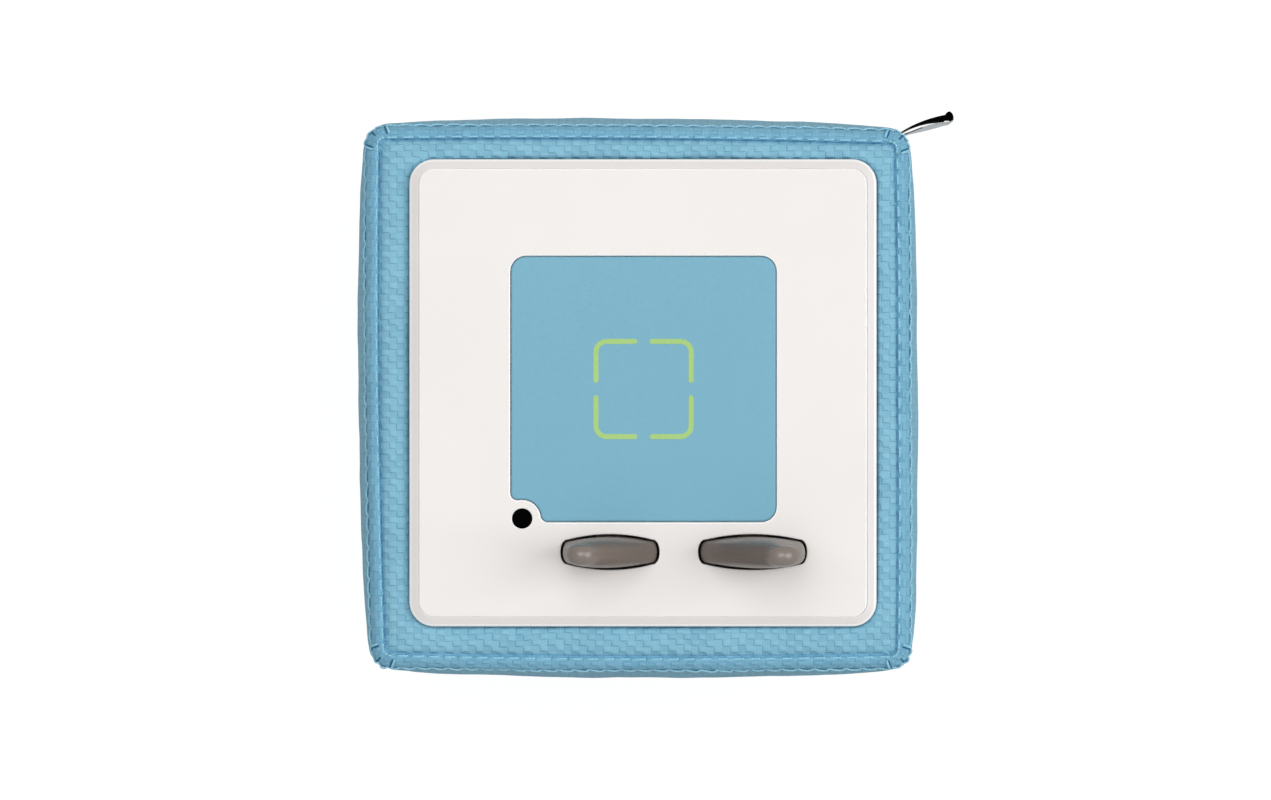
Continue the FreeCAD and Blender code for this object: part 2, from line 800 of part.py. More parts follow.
def top_plate():
    """Moulded plate with its skirt, ribs, screw bosses, ear slots and pocket for the pad."""
    reader_top = plate_underside - reader_gap
    solids = [plate_shell(), skirt()]
    for side in (-1, 1):
        for y in plate_screw_ys:
            solids.append(slim_post(
                plate_boss_radius, side * plate_screw_at_x, y,
                plate_underside - plate_boss_depth, plate_underside,
            ))
    for x in bracket_screw_xs:
        solids.append(slim_post(
            bracket_boss_radius, x, ear_y, bracket_top, plate_underside
        ))
    for x, y in reader_posts():
        solids.append(slim_post(reader_post_radius, x, y, reader_top, plate_underside))
    rib_low = plate_underside - rib_depth
    rib_reach = housing_inner - skirt_clearance - skirt_wall / 2.0
    rib_x = reader_half + rib_gap
    for side in (-1, 1):
        x = pad_x + side * rib_x
        solids.append(box(
            (x - rib_thickness / 2.0, x + rib_thickness / 2.0),
            (bracket_back + rib_depth, rib_reach), (rib_low, plate_underside),
        ))
    rib_y = pad_y + rib_x
    solids.append(box(
        (-rib_reach, rib_reach),
        (rib_y - rib_thickness / 2.0, rib_y + rib_thickness / 2.0), (rib_low, plate_underside),
    ))
    plate = fused(solids)
    pocket = pad_outline(
        pad_half + pad_clearance, pad_corner, plate_top - pad_thickness, plate_top,
        notch_radius - pad_clearance,
    )
    lens_hole = post(
        lens_radius + lens_clearance, lens_x, lens_y, plate_underside, plate_top
    )
    cuts = [
        pocket, lens_hole,
        ear_slot(small_slot_length, small_ear_x), ear_slot(large_slot_length, large_ear_x),
    ]
    for side in (-1, 1):
        for y in plate_screw_ys:
            low = plate_underside - plate_boss_depth
            cuts.append(slim_post(
                screw_radius + pilot_clearance, side * plate_screw_at_x, y,
                low, low + plate_screw_reach,
            ))
    for x in bracket_screw_xs:
        cuts.append(slim_post(
            small_screw_radius + pilot_clearance, x, ear_y,
            bracket_top, bracket_top + small_screw_engagement,
        ))
    return plate.cut(cuts)


# ---------------------------------------------------------------- ears and their mechanism
def ear_fin(length, height, x, lean):
    """Fin above the plate: the body that its front, side and plan outlines have in common."""
    thickness = slot_width - 2.0 * ear_clearance
    half = length / 2.0

    def front(across, up):
        return at(x + lean * half * across, ear_y - thickness, plate_top + height * up)

    inner_end = front(-1.0, 0.0)
    outer_end = front(1.0, 0.0)
    front_outline = Part.Wire([
        Part.Arc(inner_end, front(*inner_edge_middle), front(*tip_inner_end)).toShape(),
        Part.Arc(front(*tip_inner_end), front(*tip_middle), front(*tip_outer_end)).toShape(),
        Part.Arc(front(*tip_outer_end), front(*outer_edge_middle), outer_end).toShape(),
        Part.LineSegment(outer_end, inner_end).toShape(),
    ])
    slab = Part.Face(front_outline).extrude(BACK * (2.0 * thickness))

    tip_half = thickness * tip_half_share
    shoulder = height - tip_half

    def side(back, up):
        return at(x - length, ear_y + back, plate_top + up)

    waist = thickness * waist_half_share
    foot = thickness / 2.0
    side_outline = Part.Wire([
        Part.Arc(side(foot, 0.0), side(waist, shoulder / 2.0), side(tip_half, shoulder)).toShape(),
        Part.Arc(side(tip_half, shoulder), side(0.0, height), side(-tip_half, shoulder)).toShape(),
        Part.Arc(side(-tip_half, shoulder), side(-waist, shoulder / 2.0), side(-foot, 0.0)).toShape(),
        Part.LineSegment(side(-foot, 0.0), side(foot, 0.0)).toShape(),
    ])
    blade = Part.Face(side_outline).extrude(RIGHT * (2.0 * length))
    plan = Part.Face(lens_wire(length, thickness, x, ear_y, plate_top)).extrude(UP * height)
    return slab.common(blade).common(plan)


def ear(slot_length, height, x, lean):
    """Whole ear: fin, flange in the slot, shank, hub on the pin and rear arm."""
    length = slot_length - 2.0 * ear_clearance
    thickness = slot_width - 2.0 * ear_clearance
    flange_low = plate_underside - flange_depth
    flange = Part.Face(lens_wire(length, thickness, x, ear_y, flange_low)).extrude(
        at(0, 0, plate_top - flange_low)
    )
    shank = box(
        (x - shank_width / 2.0, x + shank_width / 2.0),
        (ear_y - shank_thickness / 2.0, ear_y + shank_thickness / 2.0),
        (pivot_z, flange_low),
    )
    hub = slim_rod(
        hub_radius, at(x - hub_width / 2.0, ear_y, pivot_z),
        at(x + hub_width / 2.0, ear_y, pivot_z), disc_sides,
    )
    arm = box(
        (x - arm_width / 2.0, x + arm_width / 2.0), (ear_y, ear_y + arm_reach),
        (arm_underside, arm_underside + arm_thickness),
    )
    whole = fused([ear_fin(length, height, x, lean), flange, shank, hub, arm])
    bore = rod(
        pin_radius + pin_clearance, at(x - hub_width, ear_y, pivot_z),
        at(x + hub_width, ear_y, pivot_z),
    )
    return whole.cut(bore)


def cheek_places():
    """Middle of each of the four cheeks that hold the two pins."""
    offset = hub_width / 2.0 + cheek_gap + cheek_thickness / 2.0
    return [x + side * offset for x in (small_ear_x, large_ear_x) for side in (-1, 1)]


def ear_bracket():
    """Floor with four cheeks for the pins, screwed to the underside of the plate."""
    solids = [box(
        (bracket_left, bracket_right), (bracket_front, bracket_back),
        (bracket_top - bracket_floor, bracket_top),
    )]
    for x in cheek_places():
        solids.append(box(
            (x - cheek_thickness / 2.0, x + cheek_thickness / 2.0),
            (ear_y - cheek_depth / 2.0, ear_y + cheek_depth / 2.0),
            (bracket_top, pivot_z + cheek_head),
        ))
    bracket = fused(solids)
    cuts = [slim_rod(
        pin_radius + pin_seat_clearance, at(bracket_left, ear_y, pivot_z),
        at(bracket_right, ear_y, pivot_z),
    )]
    for x in bracket_screw_xs:
        cuts.append(slim_post(
            small_screw_radius + small_screw_clearance, x, ear_y,
            bracket_top - bracket_floor, bracket_top,
        ))
    return bracket.cut(cuts)


def bracket_screws():
    """Three small screws that hold the bracket up against its bosses."""
    head_low = bracket_top - bracket_floor - small_head_height
    reach = bracket_floor + small_screw_engagement
    return Part.makeCompound([
        screw(x, ear_y, head_low, 1, reach, small_screw_radius, small_head_radius,
              small_head_height)
        for x in bracket_screw_xs
    ])


def ear_pins():
    """Steel pins on which the ears rock."""
    half = hub_width / 2.0 + cheek_gap + cheek_thickness + pin_overhang
    return Part.makeCompound([
        rod(pin_radius, at(x - half, ear_y, pivot_z), at(x + half, ear_y, pivot_z))
        for x in (small_ear_x, large_ear_x)
    ])


def ear_pad(x):
    """Round rubber pad between the bracket floor and the rear arm, which pushes the ear back."""
    return slim_post(return_pad_radius, x, ear_y + return_pad_reach, bracket_top, arm_underside)


def ear_board():
    """Small circuit board on the bracket floor, under both switches."""
    return box(
        (small_ear_x - ear_board_margin, large_ear_x + ear_board_margin),
        (ear_board_front, ear_board_back),
        (bracket_top, bracket_top + ear_board_thickness),
    )


def switch_body(x):
    """Square switch housing with a hole for its plunger."""
    low = bracket_top + ear_board_thickness
    y = ear_y + switch_reach
    body = box(
        (x - switch_size / 2.0, x + switch_size / 2.0),
        (y - switch_size / 2.0, y + switch_size / 2.0), (low, low + switch_height),
    )
    return body.cut(slim_post(plunger_radius + plunger_clearance, x, y, low, low + switch_height))


def plunger(x):
    """Round button of one switch."""
    top = arm_underside - switch_gap
    return slim_post(
        plunger_radius, x, ear_y + switch_reach, top - plunger_stand - plunger_sunk, top
    )


# ---------------------------------------------------------------- figure reader
def reader_board():
    """Flat antenna board under the pad, open in the middle for the magnet."""
    top = plate_underside - reader_gap
    board = faceted_block(
        reader_half, reader_post_inset, top - reader_thickness, top, pad_x, pad_y
    )
    return board.cut(slim_post(reader_window, pad_x, pad_y, top - reader_thickness, top))


def magnet_cup():
    """Plastic cup under the plate that holds the magnet."""
    outer = magnet_radius + magnet_wall
    low = plate_underside - magnet_height - magnet_lip
    cup = slim_post(outer, pad_x, pad_y, low, plate_underside, disc_sides)
    return cup.cut(slim_post(
        magnet_radius, pad_x, pad_y, low + magnet_lip, plate_underside, disc_sides
    ))


def figure_magnet():
    """Disc magnet that holds a figure on the pad."""
    return slim_post(
        magnet_radius, pad_x, pad_y, plate_underside - magnet_height, plate_underside, disc_sides
    )


# ---------------------------------------------------------------- hard housing
def housing_collar():
    """Upper part of the housing: a wall with shelves for the plate and bosses for the tub."""
    outer = faceted_block(housing_half, housing_corner, joint_z, clamp_top)
    hollow = faceted_block(housing_inner, housing_corner - housing_wall, joint_z, clamp_top)
    solids = [outer.cut(hollow)]
    shelf_top = plate_underside - plate_boss_depth
    for side in (-1, 1):
        for y in plate_screw_ys:
            inner = plate_screw_at_x - shelf_width / 2.0
            x_range = sorted((side * inner, side * (housing_inner + housing_wall / 2.0)))
            solids.append(box(
                x_range, (y - shelf_width / 2.0, y + shelf_width / 2.0),
                (shelf_top - shelf_thickness, shelf_top),
            ))
    for sx, sy in CORNERS:
        solids.append(slim_post(
            pillar_radius, sx * pillar_at, sy * pillar_at, joint_z, joint_z + collar_boss_depth
        ))
    whole = fused(solids)
    tongue_half = housing_inner + tongue_wall + joint_clearance
    cuts = [faceted_block(
        tongue_half, housing_corner - housing_wall + tongue_wall, joint_z, joint_z + joint_step
    ).cut(faceted_block(
        housing_inner, housing_corner - housing_wall, joint_z, joint_z + joint_step
    ))]
    for side in (-1, 1):
        for y in plate_screw_ys:
            cuts.append(slim_post(
                screw_radius + screw_clearance, side * plate_screw_at_x, y,
                shelf_top - shelf_thickness, shelf_top,
            ))
    for sx, sy in CORNERS:
        cuts.append(slim_post(
            screw_radius + pilot_clearance, sx * pillar_at, sy * pillar_at,
            joint_z, joint_z + housing_screw_reach,
        ))
    return whole.cut(cuts)


def grille_slots():
    """Upright slots in the front wall, cut to a round field in front of the speaker."""
    pitch = speaker_bar + speaker_slot
    count = int(grille_radius // pitch)
    slots = []
    for step in range(-count, count + 1):
        x = step * pitch
        half = math.sqrt(grille_radius ** 2 - (abs(x) + speaker_slot / 2.0) ** 2)
        slots.append(box(
            (x - speaker_slot / 2.0, x + speaker_slot / 2.0),
            (-housing_half, -housing_inner), (speaker_z - half, speaker_z + half),
        ))
    return slots


def board_boss_places():
    """Across and up places of the four bosses behind the main board."""
    side = board_half_width - board_screw_inset
    return [
        (sx * side, z) for sx in (-1, 1)
        for z in (board_bottom + board_screw_inset, board_top - board_screw_inset)
    ]


def speaker_screw_places():
    """Across and up places of the four speaker screws."""
    return [(sx * speaker_screw_at, speaker_z + sy * speaker_screw_at) for sx, sy in CORNERS]


def base_screw_places():
    """Places of the four screws that hold the base plate."""
    return [(base_screw_at, 0), (0, base_screw_at), (-base_screw_at, 0), (0, -base_screw_at)]


def housing_tub():
    """Lower part of the housing: a deep tub with a grille, corner pillars and bosses."""
    outer = faceted_block(housing_half, housing_corner, tub_bottom, joint_z)
    tongue = faceted_block(
        housing_inner + tongue_wall, housing_corner - housing_wall + tongue_wall,
        joint_z, joint_z + joint_step - joint_clearance,
    )
    hollow = faceted_block(
        housing_inner, housing_corner - housing_wall, tub_floor_top, joint_z + joint_step
    )
    solids = [fused([outer, tongue]).cut(hollow)]
    for sx, sy in CORNERS:
        solids.append(slim_post(
            pillar_radius, sx * pillar_at, sy * pillar_at, tub_bottom, joint_z
        ))
    for x, y in base_screw_places():
        solids.append(slim_post(
            base_boss_radius, x, y, tub_bottom, tub_floor_top + base_boss_height
        ))
    for x, z in board_boss_places():
        solids.append(slim_rod(board_boss_radius, at(x, board_back, z), at(x, housing_half, z)))
    tub = fused(solids)
    head_seat = joint_z - pillar_web
    floor_hole = dock_radius + dock_wall + dock_floor_gap
    cuts = grille_slots() + [
        slim_post(floor_hole, 0, 0, tub_bottom, tub_floor_top, disc_sides)
    ]
    for sx, sy in CORNERS:
        x = sx * pillar_at
        y = sy * pillar_at
        cuts.append(slim_post(pillar_tunnel, x, y, tub_bottom, head_seat))
        cuts.append(slim_post(screw_radius + screw_clearance, x, y, head_seat, joint_z))
    for x, y in base_screw_places():
        cuts.append(slim_post(
            screw_radius + pilot_clearance, x, y, tub_bottom, tub_bottom + base_screw_reach
        ))
    for x, z in board_boss_places():
        cuts.append(slim_rod(
            small_screw_radius + pilot_clearance, at(x, board_back, z),
            at(x, board_back + small_screw_engagement, z),
        ))
    for x, z in speaker_screw_places():
        cuts.append(slim_rod(
            small_screw_radius + pilot_clearance, at(x, -housing_half, z),
            at(x, -housing_inner, z),
        ))
    cuts.append(slim_rod(
        jack_barrel_radius + jack_wall_clearance, at(jack_x, board_back, jack_z),
        at(jack_x, housing_half, jack_z),
    ))
    return tub.cut(cuts)


def housing_screws():
    """Long screws up through the pillars of the tub into the collar."""
    head_low = joint_z - pillar_web - head_height
    return Part.makeCompound([
        screw(sx * pillar_at, sy * pillar_at, head_low, 1, pillar_web + housing_screw_reach,
              screw_radius, head_radius, head_height)
        for sx, sy in CORNERS
    ])


def plate_screws():
    """Screws up through the collar's shelves into the plate."""
    head_low = plate_underside - plate_boss_depth - shelf_thickness - head_height
    return Part.makeCompound([
        screw(side * plate_screw_at_x, y, head_low, 1, shelf_thickness + plate_screw_reach,
              screw_radius, head_radius, head_height)
        for side in (-1, 1) for y in plate_screw_ys
    ])


# ---------------------------------------------------------------- base plate and dock
def contact_places():
    """Places of the charging contacts on their circle."""
    return [
        (contact_circle * math.cos(angle), contact_circle * math.sin(angle))
        for angle in (math.pi / 2.0 + 2.0 * math.pi * i / contact_count
                      for i in range(contact_count))
    ]


def base_plate():
    """Plate under the player with the dock recess, foot recesses and screw holes."""
    disc = square_block(base_half, base_corner, foot_height, base_top)
    rim_outer = faceted_block(base_rim_half, housing_corner, base_top, tub_bottom)
    rim_inner = faceted_block(
        base_rim_half - base_plate_wall, housing_corner - base_plate_wall, base_top, tub_bottom
    )
    cup_top = foot_height + dock_depth + dock_ceiling
    solids = [disc, rim_outer.cut(rim_inner)]
    solids.append(slim_post(dock_radius + dock_wall, 0, 0, foot_height, cup_top, disc_sides))
    for x, y in base_screw_places():
        solids.append(slim_post(base_column_radius, x, y, foot_height, tub_bottom))
    plate = fused(solids)
    cuts = [post(dock_radius, 0, 0, foot_height, foot_height + dock_depth)]
    for x, y in contact_places():
        cuts.append(slim_post(
            contact_radius + contact_clearance, x, y, foot_height + dock_depth, cup_top,
            disc_sides,
        ))
    for sx, sy in CORNERS:
        cuts.append(slim_post(
            foot_radius + foot_clearance, sx * foot_at, sy * foot_at,
            foot_height, foot_height + foot_sunk, disc_sides,
        ))
    for x, y in base_screw_places():
        cuts.append(slim_post(screw_radius + screw_clearance, x, y, foot_height, tub_bottom))
        cuts.append(slim_post(
            base_counterbore, x, y, foot_height, foot_height + head_height, disc_sides
        ))
    return plate.cut(cuts)


def base_screws():
    """Screws that hold the base plate to the tub."""
    reach = tub_bottom - foot_height - head_height + base_screw_reach
    return Part.makeCompound([
        screw(x, y, foot_height, 1, reach, screw_radius, head_radius, head_height)
        for x, y in base_screw_places()
    ])


def feet():
    """Round rubber feet let into the base plate."""
    solids = []
    for sx, sy in CORNERS:
        foot = slim_post(
            foot_radius, sx * foot_at, sy * foot_at, 0.0, foot_height + foot_sunk, disc_sides
        )
        edge = [e for e in foot.Edges if e.BoundBox.ZMax < EPSILON]
        solids.append(foot.makeChamfer(foot_bevel, edge))
    return Part.makeCompound(solids)


def dock_contacts():
    """Round metal contacts in the ceiling of the dock recess."""
    low = foot_height + dock_depth + contact_recess
    high = foot_height + dock_depth + dock_ceiling
    return Part.makeCompound([
        slim_post(contact_radius, x, y, low, high, disc_sides) for x, y in contact_places()
    ])


def contact_board():
    """Circuit board on top of the dock cup."""
    low = foot_height + dock_depth + dock_ceiling
    return slim_post(contact_board_radius, 0, 0, low, low + contact_board_thickness)


# ---------------------------------------------------------------- speaker
def speaker_stack(steps):
    """Many-sided block about the speaker's axis through (radius, distance from the wall) steps."""
    return stack([
        many_sided(radius, at(0, distance - housing_inner, speaker_z), BACK, disc_sides)
        for radius, distance in steps
    ])


def speaker_plate(front, thickness):
    """Upright square plate with the speaker's opening and its four screw holes."""
    back = front + thickness
    plate = box(
        (-speaker_half, speaker_half), (front - housing_inner, back - housing_inner),
        (speaker_z - speaker_half, speaker_z + speaker_half),
    )
    cuts = [speaker_stack(((speaker_throat, front), (speaker_throat, back)))]
    for x, z in speaker_screw_places():
        cuts.append(slim_rod(
            small_screw_radius + small_screw_clearance,
            at(x, front - housing_inner, z), at(x, back - housing_inner, z),
        ))
    return plate.cut(cuts)


def speaker_gasket():
    """Square foam frame between the speaker and the front wall."""
    return speaker_plate(0.0, gasket_thickness)


def speaker_frame():
    """Square flange and tapering basket with four windows."""
    seat = gasket_thickness
    back = seat + basket_depth
    wall = basket_wall
    bend = seat + basket_straight
    basket = speaker_stack((
        (speaker_throat + wall, seat), (speaker_throat + wall, bend),
        (basket_back_radius + wall, back),
    )).cut(speaker_stack((
        (speaker_throat, seat), (speaker_throat, bend), (basket_back_radius, back - wall),
    )))
    frame = fused([basket, speaker_plate(seat, speaker_flange)])
    across = (-speaker_half, speaker_half)
    middle = (-basket_window / 2.0, basket_window / 2.0)
    window_y = (bend + wall - housing_inner, back - 2.0 * wall - housing_inner)
    level = (speaker_z - basket_window / 2.0, speaker_z + basket_window / 2.0)
    upright = (speaker_z - speaker_half, speaker_z + speaker_half)
    return frame.cut([box(across, window_y, level), box(middle, window_y, upright)])


def speaker_magnet():
    """Magnet behind the basket."""
    front = gasket_thickness + basket_depth
    return speaker_stack((
        (speaker_magnet_radius, front), (speaker_magnet_radius, front + speaker_magnet_height),
    ))


def speaker_surround():
    """Rubber edge of the cone, with a ridge half way across."""
    outer = speaker_throat - speaker_piece_gap
    inner = outer - surround_width
    middle = (outer + inner) / 2.0
    front = gasket_thickness + surround_roll
    back = front + surround_thickness
    crest = front - surround_roll
    outside = speaker_stack(((middle, crest), (outer, front), (outer, back)))
    trough = speaker_stack(((middle, crest), (inner, front), (inner, back)))
    underside = speaker_stack(((middle, crest + surround_thickness), (outer, back)))
    return outside.cut(trough).cut(underside.cut(speaker_stack((
        (middle, crest + surround_thickness), (inner, back),
    ))))


def speaker_cone():
    """Paper cone with its flat cap."""
    front = gasket_thickness + surround_roll
    back = front + cone_depth
    mouth = speaker_throat - speaker_piece_gap - surround_width
    block = speaker_stack((
        (mouth, front), (mouth, front + cone_thickness), (cone_throat, back + cone_thickness),
    ))
    return block.cut(speaker_stack(((mouth, front), (cone_throat, back))))


def speaker_screws():
    """Four screws through the basket into the front wall."""
    solids = []
    flange_back = -housing_inner + gasket_thickness + speaker_flange
    for x, z in speaker_screw_places():
        seat = at(x, flange_back, z)
        solids.append(fused([
            slim_rod(small_head_radius, seat, seat + BACK * small_head_height),
            slim_rod(small_screw_radius, seat - BACK * speaker_screw_depth, seat),
        ]))
    return Part.makeCompound(solids)


# ---------------------------------------------------------------- battery
def cell_places():
    """Across-the-tray places of the cells."""
    return [(i - (cell_count - 1) / 2.0) * cell_pitch for i in range(cell_count)]


def cell_middle_z():
    """Height of the cells' axes."""
    return tub_floor_top + tray_lift + tray_floor + cell_radius + cell_clearance


def battery_cells():
    """Three round cells side by side, each with its contact button."""
    solids = []
    for index, y in enumerate(cell_places()):
        turned = -1 if index % 2 else 1
        start = at(-turned * cell_length / 2.0, y, cell_middle_z())
        end = start + RIGHT * (turned * (cell_length - cell_button))
        solids.append(fused([
            slim_rod(cell_radius, start, end, disc_sides),
            slim_rod(cell_button_radius, end, end + RIGHT * (turned * cell_button)),
        ]))
    return Part.makeCompound(solids)


def tray_half_depth():
    """Half of the tray across the cells."""
    return cell_places()[-1] + cell_radius + cell_clearance + tray_wall


def battery_tray():
    """Tray on four legs, with a round bed for each cell."""
    low = tub_floor_top + tray_lift
    half_length = cell_length / 2.0 + cell_clearance + tray_wall
    half_depth = tray_half_depth()
    tray = box((-half_length, half_length), (-half_depth, half_depth), (low, low + tray_depth))
    bed = cell_length / 2.0 + cell_clearance
    cuts = [
        slim_rod(
            cell_radius + cell_clearance, at(-bed, y, cell_middle_z()),
            at(bed, y, cell_middle_z()), disc_sides,
        )
        for y in cell_places()
    ]
    solids = [tray.cut(cuts)]
    for sx, sy in CORNERS:
        x_range = sorted((sx * half_length, sx * (half_length - tray_leg)))
        y_range = sorted((sy * half_depth, sy * (half_depth - tray_leg)))
        leg = box(x_range, y_range, (tub_floor_top, low + tray_floor))
        solids.append(leg.cut(cuts))
    return fused(solids)


def battery_strap():
    """Band round the tray and the cells."""
    gap = strap_clearance
    low = tub_floor_top + tray_lift - gap
    high = cell_middle_z() + cell_radius + gap
    half = tray_half_depth() + gap
    outer = box(
        (-strap_width / 2.0, strap_width / 2.0),
        (-half - strap_thickness, half + strap_thickness),
        (low - strap_thickness, high + strap_thickness),
    )
    return outer.cut(box((-strap_width, strap_width), (-half, half), (low, high)))


# ---------------------------------------------------------------- main board
def on_board(x, z, width, height, depth):
    """Block on the front face of the main board."""
    return box(
        (x - width / 2.0, x + width / 2.0), (board_front - depth, board_front),
        (z - height / 2.0, z + height / 2.0),
    )


def main_board():
    """Upright circuit board on the bosses of the back wall."""
    board = box(
        (-board_half_width, board_half_width), (board_front, board_back),
        (board_bottom, board_top),
    )
    return board.cut([
        slim_rod(
            small_screw_radius + small_screw_clearance, at(x, board_front, z), at(x, board_back, z)
        )
        for x, z in board_boss_places()
    ])


def board_screws():
    """Four screws that hold the main board."""
    solids = []
    for x, z in board_boss_places():
        seat = at(x, board_front, z)
        reach = BACK * (board_thickness + small_screw_engagement)
        solids.append(fused([
            slim_rod(small_head_radius, seat - BACK * small_head_height, seat),
            slim_rod(small_screw_radius, seat, seat + reach),
        ]))
    return Part.makeCompound(solids)


def main_chips():
    """Processor, memory, radio and amplifier chips on the front of the board."""
    return Part.makeCompound([
        on_board(x, z, width, height, chip_height) for x, z, width, height in chips
    ])


def board_plugs():
    """Wire connectors on the front of the board."""
    return Part.makeCompound([
        on_board(x, z, plug_width, plug_height, plug_depth)
        for x, z in (
            (speaker_plug_x, speaker_plug_z), (battery_plug_x, battery_plug_z),
            (ear_plug_x, ear_plug_z),
        )
    ])


def open_can(x, z, width, height, depth, wall):
    """Thin pressed cover, open towards the board."""
    outer = on_board(x, z, width, height, depth)
    inner = on_board(x, z, width - 2.0 * wall, height - 2.0 * wall, depth - wall)
    return outer.cut(inner)


def shield_can():
    """Pressed metal can over the processor."""
    return open_can(can_x, can_z, can_width, can_height, can_depth, can_wall)


def card_socket():
    """Pressed socket that holds the memory card."""
    socket = open_can(socket_x, socket_z, socket_width, socket_height, socket_depth, socket_wall)
    mouth = on_board(socket_x, socket_z + socket_height / 2.0, card_width + socket_wall,
                     socket_height, socket_depth - socket_wall)
    return socket.cut(mouth)


def memory_card():
    """Small memory card with the stories, lying on the board in its socket."""
    lift = socket_z + socket_height / 2.0 - card_height / 2.0
    return on_board(socket_x, lift, card_width, card_height, card_depth)


# ---------------------------------------------------------------- headphone socket
def jack_mouth():
    """Y place of the mouth of the socket."""
    return cover_shift_y + belly_at(jack_z) + jack_stand


def headphone_jack():
    """Socket on the back of the board that reaches out through wall, foam and cloth."""
    start = at(jack_x, board_back, jack_z)
    mouth = at(jack_x, jack_mouth(), jack_z)
    body = fused([
        slim_rod(jack_foot_radius, start, start + BACK * jack_foot),
        rod(jack_barrel_radius, start, mouth),
    ])
    return body.cut(rod(jack_bore, mouth - BACK * jack_depth, mouth))


def jack_ring():
    """Flanged ring round the mouth of the socket, over the cloth."""
    mouth = at(jack_x, jack_mouth(), jack_z)
    ring = rod(jack_ring_radius, mouth - BACK * jack_ring_thickness, mouth)
    return ring.cut(slim_rod(
        jack_barrel_radius + jack_ring_clearance, mouth - BACK * jack_ring_radius, mouth,
        disc_sides,
    ))


# ---------------------------------------------------------------- inner leads
def speaker_lead():
    """Lead from the board to the back of the speaker."""
    plug_face = board_front - plug_depth
    speaker_back = -housing_inner + gasket_thickness + basket_depth + speaker_magnet_height
    droop = speaker_plug_z - speaker_lead_droop
    tag_z = speaker_z - speaker_tag_drop
    return lead([
        at(speaker_plug_x, plug_face, speaker_plug_z),
        at(speaker_plug_x, plug_face - lead_straight, speaker_plug_z),
        at(speaker_plug_x, (plug_face + speaker_back) / 2.0, droop),
        at(speaker_plug_x, speaker_back + lead_straight, tag_z),
        at(speaker_plug_x, speaker_back, tag_z),
    ])


def battery_lead():
    """Lead from the board down to the tray."""
    plug_face = board_front - plug_depth
    tray_edge = tray_half_depth()
    contact_z = tub_floor_top + tray_lift + battery_contact_rise
    return lead([
        at(battery_plug_x, plug_face, battery_plug_z),
        at(battery_plug_x, plug_face - battery_lead_straight, battery_plug_z),
        at(battery_plug_x, tray_edge + battery_lead_straight, contact_z),
        at(battery_plug_x, tray_edge, contact_z),
    ])


def ear_lead():
    """Lead from the board up to the ear board."""
    plug_face = board_front - plug_depth
    middle_z = bracket_top + ear_board_thickness / 2.0
    return lead([
        at(ear_plug_x, plug_face, ear_plug_z),
        at(ear_plug_x, plug_face - lead_straight, ear_plug_z),
        at(ear_plug_x, ear_board_back + lead_straight, middle_z),
        at(ear_plug_x, ear_board_back, middle_z),
    ])


# ---------------------------------------------------------------- files
def nodes():
    """Every sub-part by name."""
    return {
        "fabric_cover": fabric_cover(),
        "foam_jacket": foam_jacket(),
        "tag_loop": tag_loop(),
        "top_plate": top_plate(),
        "figure_pad": figure_pad(),
        "target_marks": target_marks(),
        "status_lens": status_lens(),
        "status_lamp": status_lamp(),
        "ear_small": ear(small_slot_length, small_ear_height, small_ear_x, -1),
        "ear_large": ear(large_slot_length, large_ear_height, large_ear_x, 1),
        "ear_bracket": ear_bracket(),
        "bracket_screws": bracket_screws(),
        "ear_pins": ear_pins(),
        "ear_pad_small": ear_pad(small_ear_x),
        "ear_pad_large": ear_pad(large_ear_x),
        "ear_board": ear_board(),
        "ear_switches": Part.makeCompound([switch_body(small_ear_x), switch_body(large_ear_x)]),
        "plunger_small": plunger(small_ear_x),
        "plunger_large": plunger(large_ear_x),
        "reader_board": reader_board(),
        "magnet_cup": magnet_cup(),
        "figure_magnet": figure_magnet(),
        "housing_collar": housing_collar(),
        "housing_tub": housing_tub(),
        "housing_screws": housing_screws(),
        "plate_screws": plate_screws(),
        "base_plate": base_plate(),
        "base_screws": base_screws(),
        "feet": feet(),
        "dock_contacts": dock_contacts(),
        "contact_board": contact_board(),
        "speaker_gasket": speaker_gasket(),
        "speaker_frame": speaker_frame(),
        "speaker_magnet": speaker_magnet(),
        "speaker_surround": speaker_surround(),
        "speaker_cone": speaker_cone(),
        "speaker_screws": speaker_screws(),
        "battery_cells": battery_cells(),
        "battery_tray": battery_tray(),
        "battery_strap": battery_strap(),
        "main_board": main_board(),
        "board_screws": board_screws(),
        "main_chips": main_chips(),
        "board_plugs": board_plugs(),
        "shield_can": shield_can(),
        "card_socket": card_socket(),
        "memory_card": memory_card(),
        "headphone_jack": headphone_jack(),
        "jack_ring": jack_ring(),
        "speaker_lead": speaker_lead(),
        "battery_lead": battery_lead(),
        "ear_lead": ear_lead(),
    }


def main():
    """Write one STEP file for each sub-part."""
    os.makedirs("parts", exist_ok=True)
    for name, shape in nodes().items():
        shape.exportStep("parts/" + name + ".step")


main()
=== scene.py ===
"""Audio story player: sewn cloth cube, moulded top plate, figure pad and two rocking ears.

Shapes are built in millimetres and turned to metres when a piece is finished.
"""
import math

